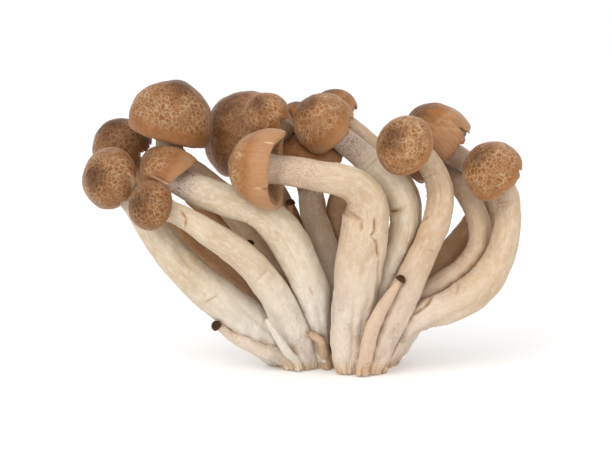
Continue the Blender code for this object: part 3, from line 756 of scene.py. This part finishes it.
class Neighbours:
    """Points of the plain stems and pins, to find where a stem touches another."""

    def __init__(self, nodes):
        self.trees = {}
        for node in nodes:
            points = merged_points(node)[0]
            tree = kdtree.KDTree(len(points))
            for i, point in enumerate(points):
                tree.insert(point, i)
            tree.balance()
            low, high = points.min(axis=0) - TOUCH, points.max(axis=0) + TOUCH
            self.trees[node] = (tree, low, high)
        self.own = None

    def closeness(self, surface):
        """1 where another stem touches the surface, down to 0 where it is a little way off."""
        flat = surface.reshape(-1, 3)
        away = np.full(len(flat), TOUCH)
        for node, (tree, low, high) in self.trees.items():
            if node == self.own:
                continue
            inside = np.flatnonzero(((flat > low) & (flat < high)).all(axis=1))
            for i in inside:
                gap = tree.find(flat[i])[2]
                if gap < away[i]:
                    away[i] = gap
        close = 1 - np.clip((away - TOUCH_FULL) / (TOUCH - TOUCH_FULL), 0, 1)
        return (close**1.5).reshape(surface.shape[:2])


def stem_relief(shape, seed, furrows, swellings, look):
    """The walls of a stem with flutes, swellings, wrinkles in its bends and its own furrows."""
    s = shape.at[:, None]
    turns = shape.turns[None, :]
    rng = np.random.default_rng(seed)
    low = np.exp(-s / 15.0)
    walls = shape.walls * (1 + look.fusing * hump(s - 6.0, 13.0))
    for k in (2, 3, 5, 7, 11):
        size = look.flute_depth * (0.35 + 1.2 * low) / (0.6 * k)
        walls = walls + walls * size * np.sin(k * turns + rng.uniform(0, 6.3) + s * rng.uniform(-0.04, 0.04))
    amount, towards = shape.bend()
    sharp = np.clip((blurred(amount, 2.0, 0, False) - 0.025) / 0.03, 0, 1)[:, None]
    inside = np.clip(np.cos(turns - towards[:, None]), 0, 1) ** 2
    beat = np.sin(2 * math.pi * s / 1.9 + 1.2 * np.sin(3 * turns))
    beat = beat + 0.6 * np.sin(2 * math.pi * s / 3.1 + turns)
    walls = walls + look.wrinkle_depth * sharp * inside * beat
    plain = shape.surface(walls)
    walls = walls * (1 + look.swelling * lumps(plain, 6.5, seed)) + 0.05 * lumps(plain, 1.4, seed + 40)
    walls = walls + (0.10 + 0.22 * hump(s - 16.0, 12.0)) * lumps(plain * [1, 1, 0.6], 3.0, seed + 60)
    neck = np.clip((s - (shape.length - 3.0)) / 3.0, 0, 1)
    walls = walls * (1 + 0.10 * neck**2)
    toe = np.clip(1 - s / 5.0, 0, 1)
    walls = walls * (1 + 0.10 * toe * lumps(plain, 1.7, seed + 80))
    outwards = (np.cos(turns)[..., None] * shape.ahead[:, None]
                + np.sin(turns)[..., None] * shape.aside[:, None])
    front = np.clip(-outwards[..., 1] * 2.0, 0, 1)
    depth, stain = furrow_depths(plain, front, furrows)
    folds = sharp * inside * np.clip(-beat, 0, 1) * 0.25
    for middle, reach, height in swellings:
        away = np.linalg.norm(plain[..., [0, 2]] - middle, axis=-1)
        depth = depth - height * hump(away, reach) * np.clip(0.4 + front, 0, 1)
    return walls - depth, np.maximum(stain, folds)


def stem_mesh(name, shape, walls, stain, sunk, nearby):
    """The closed tube of a stem with the fields that its finish reads."""
    surface = shape.surface(walls)
    ring = np.stack([np.cos(shape.turns), np.sin(shape.turns), 0 * shape.turns + shape.at[-1]], axis=-1)
    frayed = np.clip(1.3 * lumps(3.0 * ring, 1.0, 5, 3), 0, 1) * RAGGED_TOE
    settle = np.clip(1 - surface[..., 2] / (2.5 * RAGGED_TOE), 0, 1)
    surface[..., 2] += settle * frayed
    way = unit(shape.middles[-1] - shape.middles[-2])
    bottom = shape.middles[0] + [0, 0, 0.7]
    bottom[2] = min(bottom[2], 1.2)
    top = shape.middles[-1] + sunk * way
    last = surface[-1] + sunk * way * np.ones((len(shape.turns), 1))
    surface = np.concatenate([surface, last[None]])
    surface[..., 2] = np.maximum(surface[..., 2], 0.05)
    mesh = sleeve_mesh(name, surface, bottom, top)
    mean = float(np.mean(walls))
    at = np.append(shape.at, shape.at[-1] + sunk)
    grain = np.empty(surface.shape)
    grain[..., 0] = mean * np.cos(shape.turns)
    grain[..., 1] = mean * np.sin(shape.turns)
    grain[..., 2] = at[:, None]
    add_field(mesh, "grain", grain, [(0, 0, 0), (0, 0, at[-1])])
    rows = np.broadcast_to(at[:, None], surface.shape[:2])
    add_field(mesh, "from_foot", rows, [0, at[-1]])
    add_field(mesh, "from_cap", shape.length - rows, [shape.length, 0])
    add_field(mesh, "crease", np.vstack([stain, stain[-1:]]), [0.3, 0])
    # How near another stem comes, which the finish paints as contact shade.
    add_field(mesh, "contact_shade", nearby.closeness(surface), [0, 0])
    return mesh


def cap_profile(shape):
    """Rows of a cap from under the crown to the middle of the gills: distance from the axis, height,
    row of the plain solid, reach from crown to rim, and whether the row is inside."""
    r, h, lip = shape.radius, shape.height, shape.lip
    rows = []
    for turn in np.linspace(2.0, 90.0, 46):
        a = math.radians(turn)
        rows.append((r * math.sin(a), h * math.cos(a), turn / DOME_STEP, turn / 102, 0))
    for k in range(1, 13):
        a = math.radians(k * 13.0)
        out, down = r * (0.93 + 0.07 * math.cos(a)), -lip * math.sin(min(a, math.pi / 2))
        if k > 6:
            down = -lip * (1 - 0.35 * (k - 6) / 6)
            out = r * (0.93 - 0.075 * (k - 6) / 6) - 0.02 * r
        rows.append((out, down, DOME_ROWS + k / 6, (90 + min(k, 9) * 1.35) / 102, max(0, (k - 8) / 4)))
    for k in range(1, 13):
        t = k / 12
        out = r * (0.835 * (1 - t) + 0.05 * t)
        down = -0.65 * lip * (1 - t) ** 2 + 0.22 * r * (1 - (1 - t) ** 2)
        rows.append((out, down, DOME_ROWS + 3 + t, 1.0, 1))
    return np.array(rows)


def saddle(name, shape, turns):
    """How far the rim of a cap is drawn up at each angle, in millimetres."""
    rise = np.zeros(np.shape(turns))
    for height, way, narrow in SADDLES.get(name, []):
        facing = math.atan2(np.dot(way, shape.aside), np.dot(way, shape.ahead))
        rise = rise + height * (0.5 + 0.5 * np.cos(turns - facing)) ** narrow
    return rise


def cap_surface(name, shape, seed, tears, look):
    """Points of a cap's skin and the inside of its rim, with its lumps, its wavy rim and its tears."""
    profile = cap_profile(shape)
    columns = CAP_COLUMNS
    gathered = np.linspace(-math.pi, math.pi, TURN_STEPS, endpoint=False)
    density = np.ones(TURN_STEPS)
    for x, z, width, _ in tears:
        gap = turn_between(gathered, shape.turn_towards(x, z))
        density += 6 * hump(np.degrees(gap), 1.5 * width)
    along = np.concatenate([[0], np.cumsum(density)])
    ends = np.append(gathered, math.pi)
    turns = np.interp(np.arange(columns) / columns * along[-1], along, ends)
    out, height, row, reach, inner = (np.repeat(c[:, None], columns, 1) for c in profile.T)
    rim = np.clip((reach - 0.6) / 0.4, 0, 1) ** 2
    wave = np.zeros(columns)
    rng = np.random.default_rng(seed)
    for k in (2, 3, 5, 8, 13):
        wave += np.sin(k * turns + rng.uniform(0, 6.3)) / k**0.7
    height = height + look.rim_wave * shape.radius / 10 * wave * rim
    roof = np.where(inner < 1, 1.0, np.clip(out / (0.8 * shape.radius), 0, 1) ** 2)
    height = height + saddle(name, shape, turns) * rim * roof
    height = height + HOLLOWS.get(name, 0.0) * shape.radius * (inner >= 1) * (1 - roof)
    out = out * (1 + 0.012 * np.roll(wave, 9) * rim)
    back = np.zeros(columns)
    for x, z, width, deep in tears:
        gap = turn_between(turns, shape.turn_towards(x, z))
        notch = np.clip(1 - np.abs(np.degrees(gap)) / width, 0, 1) ** 0.8
        back = np.maximum(back, deep * notch)
    if name in RAGGED_RIMS:
        x, z, width, deep = RAGGED_RIMS[name]
        gap = turn_between(turns, shape.turn_towards(x, z))
        window = np.clip(1.3 - np.abs(np.degrees(gap)) / width, 0, 1)
        teeth = np.stack([np.cos(turns) * 6, np.sin(turns) * 6, turns * 0 + seed], axis=-1)
        back = np.maximum(back, deep * window * np.clip(0.35 + 1.3 * lumps(teeth, 0.9, seed, 3), 0, 1.4))
    torn = np.clip((reach - (0.97 - 1.2 * back)) / np.maximum(1.2 * back, 1e-6), 0, 1) * (back > 0.002)
    angle = np.radians(np.clip(90 * (1 - torn * back * 1.25), 0, 90))
    torn_out, torn_height = shape.radius * np.sin(angle) * 0.985, shape.height * np.cos(angle)
    share = torn * (inner < 1)
    out = out * (1 - share) + np.minimum(out, torn_out) * share
    height = np.where(inner < 1, np.maximum(height, height * (1 - share) + torn_height * share), height)
    points = shape.middle + height[..., None] * shape.axis + out[..., None] * shape.spokes(turns)
    press = shape.press(row, np.broadcast_to(turns, row.shape))
    points = shape.heart + press[..., None] * (points - shape.heart)
    outwards = unit(points - shape.heart)
    bulge = look.cap_lump * lumps(points, 7.0, seed) + 0.006 * lumps(points, 2.4, seed + 9)
    points = points + outwards * (shape.radius * bulge * (1 - inner))[..., None]
    for middle, spread, high in CAP_SWELLINGS.get(name, []):
        away = np.linalg.norm(points[..., [0, 2]] - middle, axis=-1)
        points = points + outwards * (high * hump(away, spread))[..., None]
    stain = share * np.clip(back * 12, 0, 1) * np.clip((reach - 0.9) * 12, 0, 1) * 0.8
    return points, reach, inner, stain, turns


def cap_mesh(name, shape, seed, tears, furrows, look):
    """The closed skin of a cap with the fields that its finish reads."""
    bare_name = name.removeprefix("cap_").removesuffix("_skin")
    points, reach, inner, stain, turns = cap_surface(bare_name, shape, seed, tears, look)
    outwards = unit(points - shape.heart)
    front = np.clip(-outwards[..., 1] * 3.0 + 0.3, 0, 1) * (inner < 0.5)
    depth, colour = furrow_depths(points, front, furrows)
    points = points - outwards * depth[..., None]
    crown = points[0].mean(axis=0)
    heart = points[-1].mean(axis=0)
    mesh = sleeve_mesh(name, points, crown, heart)
    local = points - shape.middle
    grain = np.stack([local @ shape.ahead, local @ shape.aside, local @ shape.axis], axis=-1)
    add_field(mesh, "grain", grain, [(0, 0, shape.height), (0, 0, 0)])
    add_field(mesh, "reach", reach, [0, 1])
    turning = np.broadcast_to(turns, reach.shape)
    spokes = np.stack([np.cos(turning) * 9, np.sin(turning) * 9, reach * 1.6], axis=-1)
    add_field(mesh, "spokes", spokes, [(0, 0, 0), (0, 0, 1.6)])
    add_field(mesh, "inner", inner, [0, 1])
    add_field(mesh, "crease", np.maximum(stain, colour), [0, 0])
    return mesh


def gill_tree():
    """A fan of thin blades about Z, made for one cap at a time."""
    tree = bpy.data.node_groups.new("gill_fan", "GeometryNodeTree")
    sockets = tree.interface
    sockets.new_socket("Geometry", in_out="OUTPUT", socket_type="NodeSocketGeometry")
    sockets.new_socket("Count", in_out="INPUT", socket_type="NodeSocketInt")
    for label in ("Inner reach", "Outer reach", "Depth", "Thickness", "Dish"):
        sockets.new_socket(label, in_out="INPUT", socket_type="NodeSocketFloat")
    sockets.new_socket("Seed", in_out="INPUT", socket_type="NodeSocketInt")
    sockets.new_socket("Flesh", in_out="INPUT", socket_type="NodeSocketMaterial")

    def node(kind, inputs=(), **settings):
        return add_node(tree, kind, inputs, settings)

    def calc(operation, a, b=0.0):
        return node("ShaderNodeMath", {0: a, 1: b}, operation=operation).outputs[0]

    def times(a, b):
        return calc("MULTIPLY", a, b)

    def vector(inputs):
        return node("ShaderNodeCombineXYZ", inputs).outputs[0]

    given = node("NodeGroupInput").outputs
    outer, inner = given["Outer reach"], given["Inner reach"]
    reach = calc("SUBTRACT", outer, inner)
    size = vector({0: reach, 1: given["Thickness"], 2: given["Depth"]})
    blade = node("GeometryNodeMeshCube", {"Size": size, "Vertices X": 9, "Vertices Y": 2, "Vertices Z": 4})
    x, y, z = node("ShaderNodeSeparateXYZ", {0: node("GeometryNodeInputPosition").outputs[0]}).outputs
    share = calc("DIVIDE", x, reach)                     # -0.5 at the stem, 0.5 at the rim
    low = calc("SUBTRACT", 0.5, calc("DIVIDE", z, given["Depth"]))
    thin = calc("SUBTRACT", 1.0, times(low, 0.7))
    ends = calc("SUBTRACT", 1.0, calc("POWER", times(calc("ABSOLUTE", share), 2.0), 6.0))
    tall = times(z, calc("ADD", 0.35, times(ends, 0.65)))
    dip = calc("POWER", calc("ADD", share, 0.5), 2.0)
    dish = times(given["Dish"], calc("SUBTRACT", 0.25, dip))
    sway = times(calc("SINE", times(share, 9.0)), times(given["Thickness"], 0.5))
    bent = vector({0: x, 1: calc("ADD", times(y, thin), sway), 2: calc("ADD", tall, dish)})
    shaped = node("GeometryNodeSetPosition", {"Geometry": blade.outputs["Mesh"], "Position": bent}).outputs[0]
    out = vector({0: times(calc("ADD", outer, inner), 0.5)})
    shaped = node("GeometryNodeTransform", {"Geometry": shaped, "Translation": out}).outputs[0]
    points = node("GeometryNodePoints", {"Count": given["Count"]}).outputs[0]
    index = node("GeometryNodeInputIndex").outputs[0]
    uneven = {2: -0.28, 3: 0.28, "ID": index, "Seed": given["Seed"]}
    jitter = node("FunctionNodeRandomValue", uneven).outputs[1]
    step = calc("DIVIDE", 2 * math.pi, given["Count"])
    turning = vector({2: times(calc("ADD", index, jitter), step)})
    planted = {"Points": points, "Instance": shaped, "Rotation": turning}
    fan = node("GeometryNodeInstanceOnPoints", planted).outputs[0]
    real = node("GeometryNodeRealizeInstances", {"Geometry": fan}).outputs[0]
    fleshed = node("GeometryNodeSetMaterial", {"Geometry": real, "Material": given["Flesh"]}).outputs[0]
    tree.links.new(fleshed, node("NodeGroupOutput").inputs[0])
    return tree


def run_tree(tree, values):
    """The mesh that a geometry tree makes with these named inputs."""
    carrier = bpy.data.objects.new("carrier", bpy.data.meshes.new("carrier"))
    bpy.context.scene.collection.objects.link(carrier)
    modifier = carrier.modifiers.new("grow", "NODES")
    modifier.node_group = tree
    for socket in tree.interface.items_tree:
        if socket.in_out == "INPUT":
            modifier[socket.identifier] = values[socket.name]
    graph = bpy.context.evaluated_depsgraph_get()
    mesh = bpy.data.meshes.new_from_object(carrier.evaluated_get(graph))
    bpy.data.objects.remove(carrier)
    return mesh


def gill_mesh(name, shape, stem_radius, tree, flesh, seed, look):
    """The gills of one cap, fanned about its axis."""
    reach = 0.84 * shape.radius
    count = int(look.gill_count * (shape.radius / 9.0) ** 0.5)
    values = {"Count": count, "Inner reach": 0.8 * stem_radius * MM, "Outer reach": reach * MM,
              "Depth": 0.30 * shape.radius * MM, "Thickness": look.gill_thickness,
              "Dish": 0.16 * shape.radius * MM, "Seed": seed, "Flesh": flesh}
    mesh = run_tree(tree, values)
    points = np.empty(len(mesh.vertices) * 3)
    mesh.vertices.foreach_get("co", points)
    points = points.reshape(-1, 3) / MM
    turns = np.arctan2(points[:, 1], points[:, 0])
    away = np.clip(np.hypot(points[:, 0], points[:, 1]) / reach, 0, 1)
    bare_name = name.removeprefix("gills_")
    hollow = HOLLOWS.get(bare_name, 0.0) * (1 - away**4)
    height = points[:, 2] + (0.04 + hollow) * shape.radius + saddle(bare_name, shape, turns) * away**2
    local = (shape.middle + points[:, :1] * shape.ahead + points[:, 1:2] * shape.aside
             + height[:, None] * shape.axis)
    press = shape.press(np.full(len(turns), DOME_ROWS + 3.6), turns)
    local = shape.heart + press[:, None] * (local - shape.heart)
    mesh.vertices.foreach_set("co", (local * MM).ravel())
    mesh.name = name
    mesh.update()
    return mesh


# ---------------------------------------------------------------- settings


def colour_setting(label, purpose, value):
    """A colour that a user can change."""
    return bpy.props.FloatVectorProperty(name=label, description=purpose, subtype="COLOR", size=4,
                                         min=0.0, max=1.0, default=value)


def amount_setting(label, purpose, value, most):
    """A plain number, from nothing to the most allowed, that a user can change."""
    return bpy.props.FloatProperty(name=label, description=purpose, default=value, min=0.0, max=most)


class ClusterLook(bpy.types.PropertyGroup):
    """Colours and relief that all the mushrooms of the cluster share."""

    flesh_colour: colour_setting("Flesh", "Stem flesh", seen(223, 205, 177))
    flesh_shade_colour: colour_setting("Flesh shade", "Deeper patches of the stems", seen(211, 189, 160))
    fibre_colour: colour_setting("Fibres", "Fibres along the stems", seen(204, 170, 126))
    down_colour: colour_setting("Down", "White down on the lower stems", seen(240, 232, 220))
    grey_colour: colour_setting("Bruise", "Grey patches low on the stems", seen(180, 168, 162))
    neck_colour: colour_setting("Neck", "Rosy flesh under the caps", seen(224, 202, 184))
    speck_colour: colour_setting("Specks", "Specks on the necks", seen(152, 112, 90))
    toe_colour: colour_setting("Toes", "Tan ends of the stems", seen(206, 168, 116))
    # This colour is both the real stain in the furrows and the painted contact shade where two stems touch.
    stain_and_contact_shade_colour: colour_setting("Creases", "Stain in the furrows", seen(184, 132, 80))
    # Painted shade: the tint that darkens and warms stems lying behind or beside the others.
    painted_shade_colour: colour_setting("Shaded", "Tint of the stems grown in shade", tint(222, 170, 114))
    cap_colour: colour_setting("Cap", "Cap skin", seen(160, 110, 66))
    cap_warm_colour: colour_setting("Warm cap", "Warmer patches of the cap skin", seen(176, 116, 66))
    cap_spot_colour: colour_setting("Islands", "Brown islands in the net", seen(134, 82, 42))
    cap_net_colour: colour_setting("Net", "Pale net over the cap", seen(202, 174, 136))
    cap_crown_colour: colour_setting("Crown", "Top of the cap", seen(70, 50, 34))
    crown_tint: colour_setting("Crown tint", "Shade of the marbling at the top of the cap",
                               tint(190, 180, 165))
    cap_rim_colour: colour_setting("Rim", "Smooth margin of the cap", seen(192, 146, 106))
    cap_dark_colour: colour_setting("Dark caps", "Tint of the darker caps", tint(160, 132, 96))
    button_colour: colour_setting("Buttons", "Tint of the pins' dark buttons", tint(112, 96, 84))
    torn_colour: colour_setting("Torn edge", "Flesh in the tears of a cap", seen(232, 200, 162))
    gill_colour: colour_setting("Gills", "Gills and inside of the rim", seen(192, 152, 112))
    gill_shade_colour: colour_setting("Gill shade", "Deeper tone of the gills", seen(150, 110, 76))
    flute_depth: amount_setting("Flutes", "Depth of the flutes, a share of the stem's radius", 0.07, 0.2)
    fusing: amount_setting("Fusing", "Widening of the feet, a share of the stem's radius", 0.16, 0.5)
    swelling: amount_setting("Swellings", "Unevenness, a share of the stem's radius", 0.055, 0.2)
    wrinkle_depth: amount_setting("Wrinkles", "Depth of wrinkles in the bends, in millimetres", 0.09, 0.5)
    rim_wave: amount_setting("Rim wave", "Waviness of a 20 mm cap's rim, in millimetres", 0.28, 1.0)
    cap_lump: amount_setting("Cap lumps", "Unevenness, a share of the cap's radius", 0.035, 0.1)
    gill_count: bpy.props.IntProperty(name="Gills", description="Gills under an 18 mm cap",
                                      default=52, min=12, max=120)
    gill_thickness: bpy.props.FloatProperty(name="Gill thickness", description="Thickness of a gill",
                                            default=0.00026, min=0.0001, max=0.001, unit="LENGTH")


class ClusterStage(bpy.types.PropertyGroup):
    """The floor, the lights and the camera."""

    distance: bpy.props.FloatProperty(name="Camera distance", description="From the cluster to the camera",
                                      default=0.510, unit="LENGTH")
    elevation: bpy.props.FloatProperty(name="Camera height", description="Angle of the view above level",
                                       default=math.radians(8.0), subtype="ANGLE")
    lens: bpy.props.FloatProperty(name="Lens", description="Focal length", default=100.0, unit="CAMERA")
    aim: bpy.props.FloatVectorProperty(name="Aim", description="Point at the middle of the view",
                                       default=(-0.0102, -0.007, 0.0432), subtype="TRANSLATION")
    floor_size: bpy.props.FloatProperty(name="Floor", description="Width of the floor",
                                        default=8.0, unit="LENGTH")


# ---------------------------------------------------------------- operators


class CLUSTER_OT_stems(bpy.types.Operator):
    """Grows the flesh of the twenty capped stems down to the ground"""

    bl_idname = "cluster.stems"
    bl_label = "Stems"

    def execute(self, context):
        look = context.scene.cluster_look
        nearby = Neighbours([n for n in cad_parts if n.startswith(("stem_", "pin_"))])
        for seed, name in enumerate(names_of("stem_")):
            # The share of painted shade for this stem, and how much its foot narrows.
            painted_shade, toe = STEM_HABITS[name]
            node = "stem_" + name
            nearby.own = node
            columns, spacing = FINE_STEM if name in DETAILED_STEMS else COARSE_STEM
            shape = StemShape(node, columns, spacing, toe)
            walls, stain = stem_relief(shape, seed, STEM_FURROWS.get(name, []),
                                       STEM_SWELLINGS.get(name, []), look)
            sunk = STEM_SUNK + HOLLOW_SUNK * HOLLOWS.get(name, 0.0)
            mesh = stem_mesh(node + "_flesh", shape, walls, stain, sunk, nearby)
            rosy = max(0.0, 1 - 2 * painted_shade)
            neck_length = NECKS.get(name, NECK_LENGTH)
            flesh = flesh_finish(node + "_flesh", seed, look, painted_shade, rosy, neck_length)
            place(mesh, node + "_flesh", flesh, node)
        return {"FINISHED"}


class CLUSTER_OT_caps(bpy.types.Operator):
    """Grows the skin of the twenty caps, with their wavy and torn rims"""

    bl_idname = "cluster.caps"
    bl_label = "Caps"

    def execute(self, context):
        look = context.scene.cluster_look
        for seed, name in enumerate(names_of("cap_")):
            marbling, dark, bare = CAP_HABITS[name]
            node = "cap_" + name
            tip = StemShape("stem_" + name, *SKETCH_STEM, 0.0).tip
            shape = CapShape(node, tip)
            tears, furrows = RIM_TEARS.get(name, []), CAP_FURROWS.get(name, [])
            mesh = cap_mesh(node + "_skin", shape, seed, tears, furrows, look)
            skin = cap_finish(node + "_skin", seed, look, marbling, dark, bare, look.cap_dark_colour)
            place(mesh, node + "_skin", skin, node)
        return {"FINISHED"}


class CLUSTER_OT_gills(bpy.types.Operator):
    """Fans the gills under each cap"""

    bl_idname = "cluster.gills"
    bl_label = "Gills"

    def execute(self, context):
        look = context.scene.cluster_look
        tree = gill_tree()
        flesh = gill_finish(look)
        for seed, name in enumerate(names_of("cap_")):
            stem = StemShape("stem_" + name, *SKETCH_STEM, 0.0)
            shape = CapShape("cap_" + name, stem.tip)
            mesh = gill_mesh("gills_" + name, shape, float(stem.walls[-1].mean()), tree, flesh, seed, look)
            place(mesh, "gills_" + name, flesh, None)
        return {"FINISHED"}


class CLUSTER_OT_pins(bpy.types.Operator):
    """Grows the undergrown stems and their dark buttons"""

    bl_idname = "cluster.pins"
    bl_label = "Pins"

    def execute(self, context):
        look = context.scene.cluster_look
        nearby = Neighbours([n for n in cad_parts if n.startswith("stem_")])
        # Each pin's share of painted shade, and its width.
        for seed, (node, (painted_shade, width)) in enumerate(PINS.items(), start=FIRST_PIN_SEED):
            shape = StemShape(node, *PIN_STEM, 0.0)
            walls, stain = stem_relief(shape, seed, [], [], look)
            thin = 1 - 0.25 * np.clip((shape.at - shape.length + 2.0) / 2.0, 0, 1)[:, None] ** 2
            mesh = stem_mesh(node + "_flesh", shape, width * walls * thin, stain, PIN_SUNK, nearby)
            flesh = flesh_finish(node + "_flesh", seed, look, painted_shade, 0.0, PIN_NECK_LENGTH)
            place(mesh, node + "_flesh", flesh, node)
            button = "cap_" + node
            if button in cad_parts:
                cap = CapShape(button, shape.tip)
                mesh = cap_mesh(button + "_skin", cap, seed, [], [], look)
                skin = cap_finish(button + "_skin", seed, look, 0.1, 1.0, 0.5, look.button_colour)
                place(mesh, button + "_skin", skin, button)
        return {"FINISHED"}


class CLUSTER_OT_foot(bpy.types.Operator):
    """Rounds and frays the joined foot between the toes of the stems"""

    bl_idname = "cluster.foot"
    bl_label = "Foot"

    def execute(self, context):
        look = context.scene.cluster_look
        source = bpy.data.objects.new("foot_copy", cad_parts["joined_foot"].data.copy())
        context.scene.collection.objects.link(source)
        bm = bmesh.new()
        bm.from_mesh(source.data)
        bmesh.ops.remove_doubles(bm, verts=bm.verts, dist=MERGE * MM)
        bm.to_mesh(source.data)
        bm.free()
        remesh = source.modifiers.new("voxels", "REMESH")
        remesh.mode = "VOXEL"
        remesh.voxel_size = FOOT_VOXEL * MM
        smooth = source.modifiers.new("round", "SMOOTH")
        smooth.factor, smooth.iterations = 0.5, 6
        graph = context.evaluated_depsgraph_get()
        mesh = bpy.data.meshes.new_from_object(source.evaluated_get(graph))
        bpy.data.objects.remove(source)
        mesh.name = "joined_foot_flesh"
        points = np.empty(len(mesh.vertices) * 3)
        mesh.vertices.foreach_get("co", points)
        points = points.reshape(-1, 3) / MM
        size = 0.93 + 0.03 * lumps(points, 2.5, 3)
        points[:, :2] *= size[:, None]
        top = points[:, 2] > FOOT_TOP
        points[:, 2] = np.where(top, points[:, 2] - FOOT_DROP, points[:, 2])
        under = points[:, 2] < FOOT_CUT
        rough = 0.35 * np.abs(lumps(points * [1, 1, 0], 1.6, 8))
        points[:, 2] = np.where(under, points[:, 2] + rough, points[:, 2])
        mesh.vertices.foreach_set("co", (points * MM).ravel())
        mesh.shade_smooth()
        mesh.update()
        place(mesh, "joined_foot_flesh", foot_finish(look), "joined_foot")
        return {"FINISHED"}


def area_light(name, stand, aim, size, power, colour):
    """A round soft lamp turned towards a point."""
    lamp = bpy.data.lights.new(name, "AREA")
    lamp.shape = "DISK"
    lamp.size, lamp.energy, lamp.color = size, power, colour
    made = bpy.data.objects.new(name, lamp)
    made.location = stand
    made.rotation_euler = (Vector(aim) - Vector(stand)).to_track_quat("-Z", "Y").to_euler()
    bpy.context.scene.collection.objects.link(made)


class CLUSTER_OT_stage(bpy.types.Operator):
    """Lays the floor, hangs the lights and sets up the camera"""

    bl_idname = "cluster.stage"
    bl_label = "Stage"

    def execute(self, context):
        scene = context.scene
        stage = scene.cluster_stage
        aim = Vector(stage.aim)
        bm = bmesh.new()
        bmesh.ops.create_grid(bm, x_segments=8, y_segments=8, size=stage.floor_size / 2)
        mesh = bpy.data.meshes.new("floor")
        bm.to_mesh(mesh)
        bm.free()
        floor = bpy.data.objects.new("floor", mesh)
        scene.collection.objects.link(floor)
        paper = Finish("white_paper")
        spot = paper.noise(paper.node("TexCoord", {}).outputs["Object"], 60.0)
        colour = paper.mix(spot, (0.84, 0.84, 0.84, 1), (0.86, 0.86, 0.86, 1))
        even = {"Specular IOR Level": 0.0, "Emission Color": (1, 1, 1, 1), "Emission Strength": 0.16}
        mesh.materials.append(paper.done(colour, paper.band(spot, 0.0, 1.0, 0.7, 0.8), spot, 0.01, even))

        camera = bpy.data.cameras.new("camera")
        camera.lens = stage.lens
        camera.clip_start, camera.clip_end = 0.01, 20.0
        viewer = bpy.data.objects.new("camera", camera)
        away = Vector((0, -math.cos(stage.elevation), math.sin(stage.elevation)))
        viewer.location = aim + stage.distance * away
        viewer.rotation_euler = (-away).to_track_quat("-Z", "Y").to_euler()
        scene.collection.objects.link(viewer)
        scene.camera = viewer

        world = bpy.data.worlds.new("studio")
        world.use_nodes = True
        sky = world.node_tree.nodes["Background"].inputs
        sky["Color"].default_value = (1.0, 1.0, 1.0, 1.0)
        sky["Strength"].default_value = 1.0
        scene.world = world
        for name, (stand, size, power, colour) in LAMPS.items():
            area_light(name, stand, aim, size, power, colour)
        scene.view_settings.view_transform = "Standard"
        scene.view_settings.look = "None"
        return {"FINISHED"}


class CLUSTER_PT_panel(bpy.types.Panel):
    """Lists the steps that grow the cluster"""

    bl_label = "Beech mushrooms"
    bl_idname = "CLUSTER_PT_panel"
    bl_space_type = "VIEW_3D"
    bl_region_type = "UI"
    bl_category = "Mushrooms"

    def draw(self, context):
        layout = self.layout
        for step in STEPS:
            layout.operator(step.bl_idname)
        for settings in (context.scene.cluster_look, context.scene.cluster_stage):
            box = layout.box()
            for key in settings.bl_rna.properties.keys():
                if key not in ("rna_type", "name"):
                    box.prop(settings, key)


STEPS = (CLUSTER_OT_stage, CLUSTER_OT_foot, CLUSTER_OT_stems, CLUSTER_OT_pins, CLUSTER_OT_caps,
         CLUSTER_OT_gills)
CLASSES = (ClusterLook, ClusterStage, *STEPS, CLUSTER_PT_panel)


def register():
    """Makes the settings, steps and panel known."""
    for cls in CLASSES:
        bpy.utils.register_class(cls)
    bpy.types.Scene.cluster_look = bpy.props.PointerProperty(type=ClusterLook)
    bpy.types.Scene.cluster_stage = bpy.props.PointerProperty(type=ClusterStage)


def unregister():
    """Takes them away again."""
    del bpy.types.Scene.cluster_stage
    del bpy.types.Scene.cluster_look
    for cls in reversed(CLASSES):
        bpy.utils.unregister_class(cls)


def main():
    """Grows the cluster step by step."""
    register()
    bpy.ops.cluster.stage()
    bpy.ops.cluster.foot()
    bpy.ops.cluster.stems()
    bpy.ops.cluster.pins()
    bpy.ops.cluster.caps()
    bpy.ops.cluster.gills()


if __name__ == "__main__":
    main()
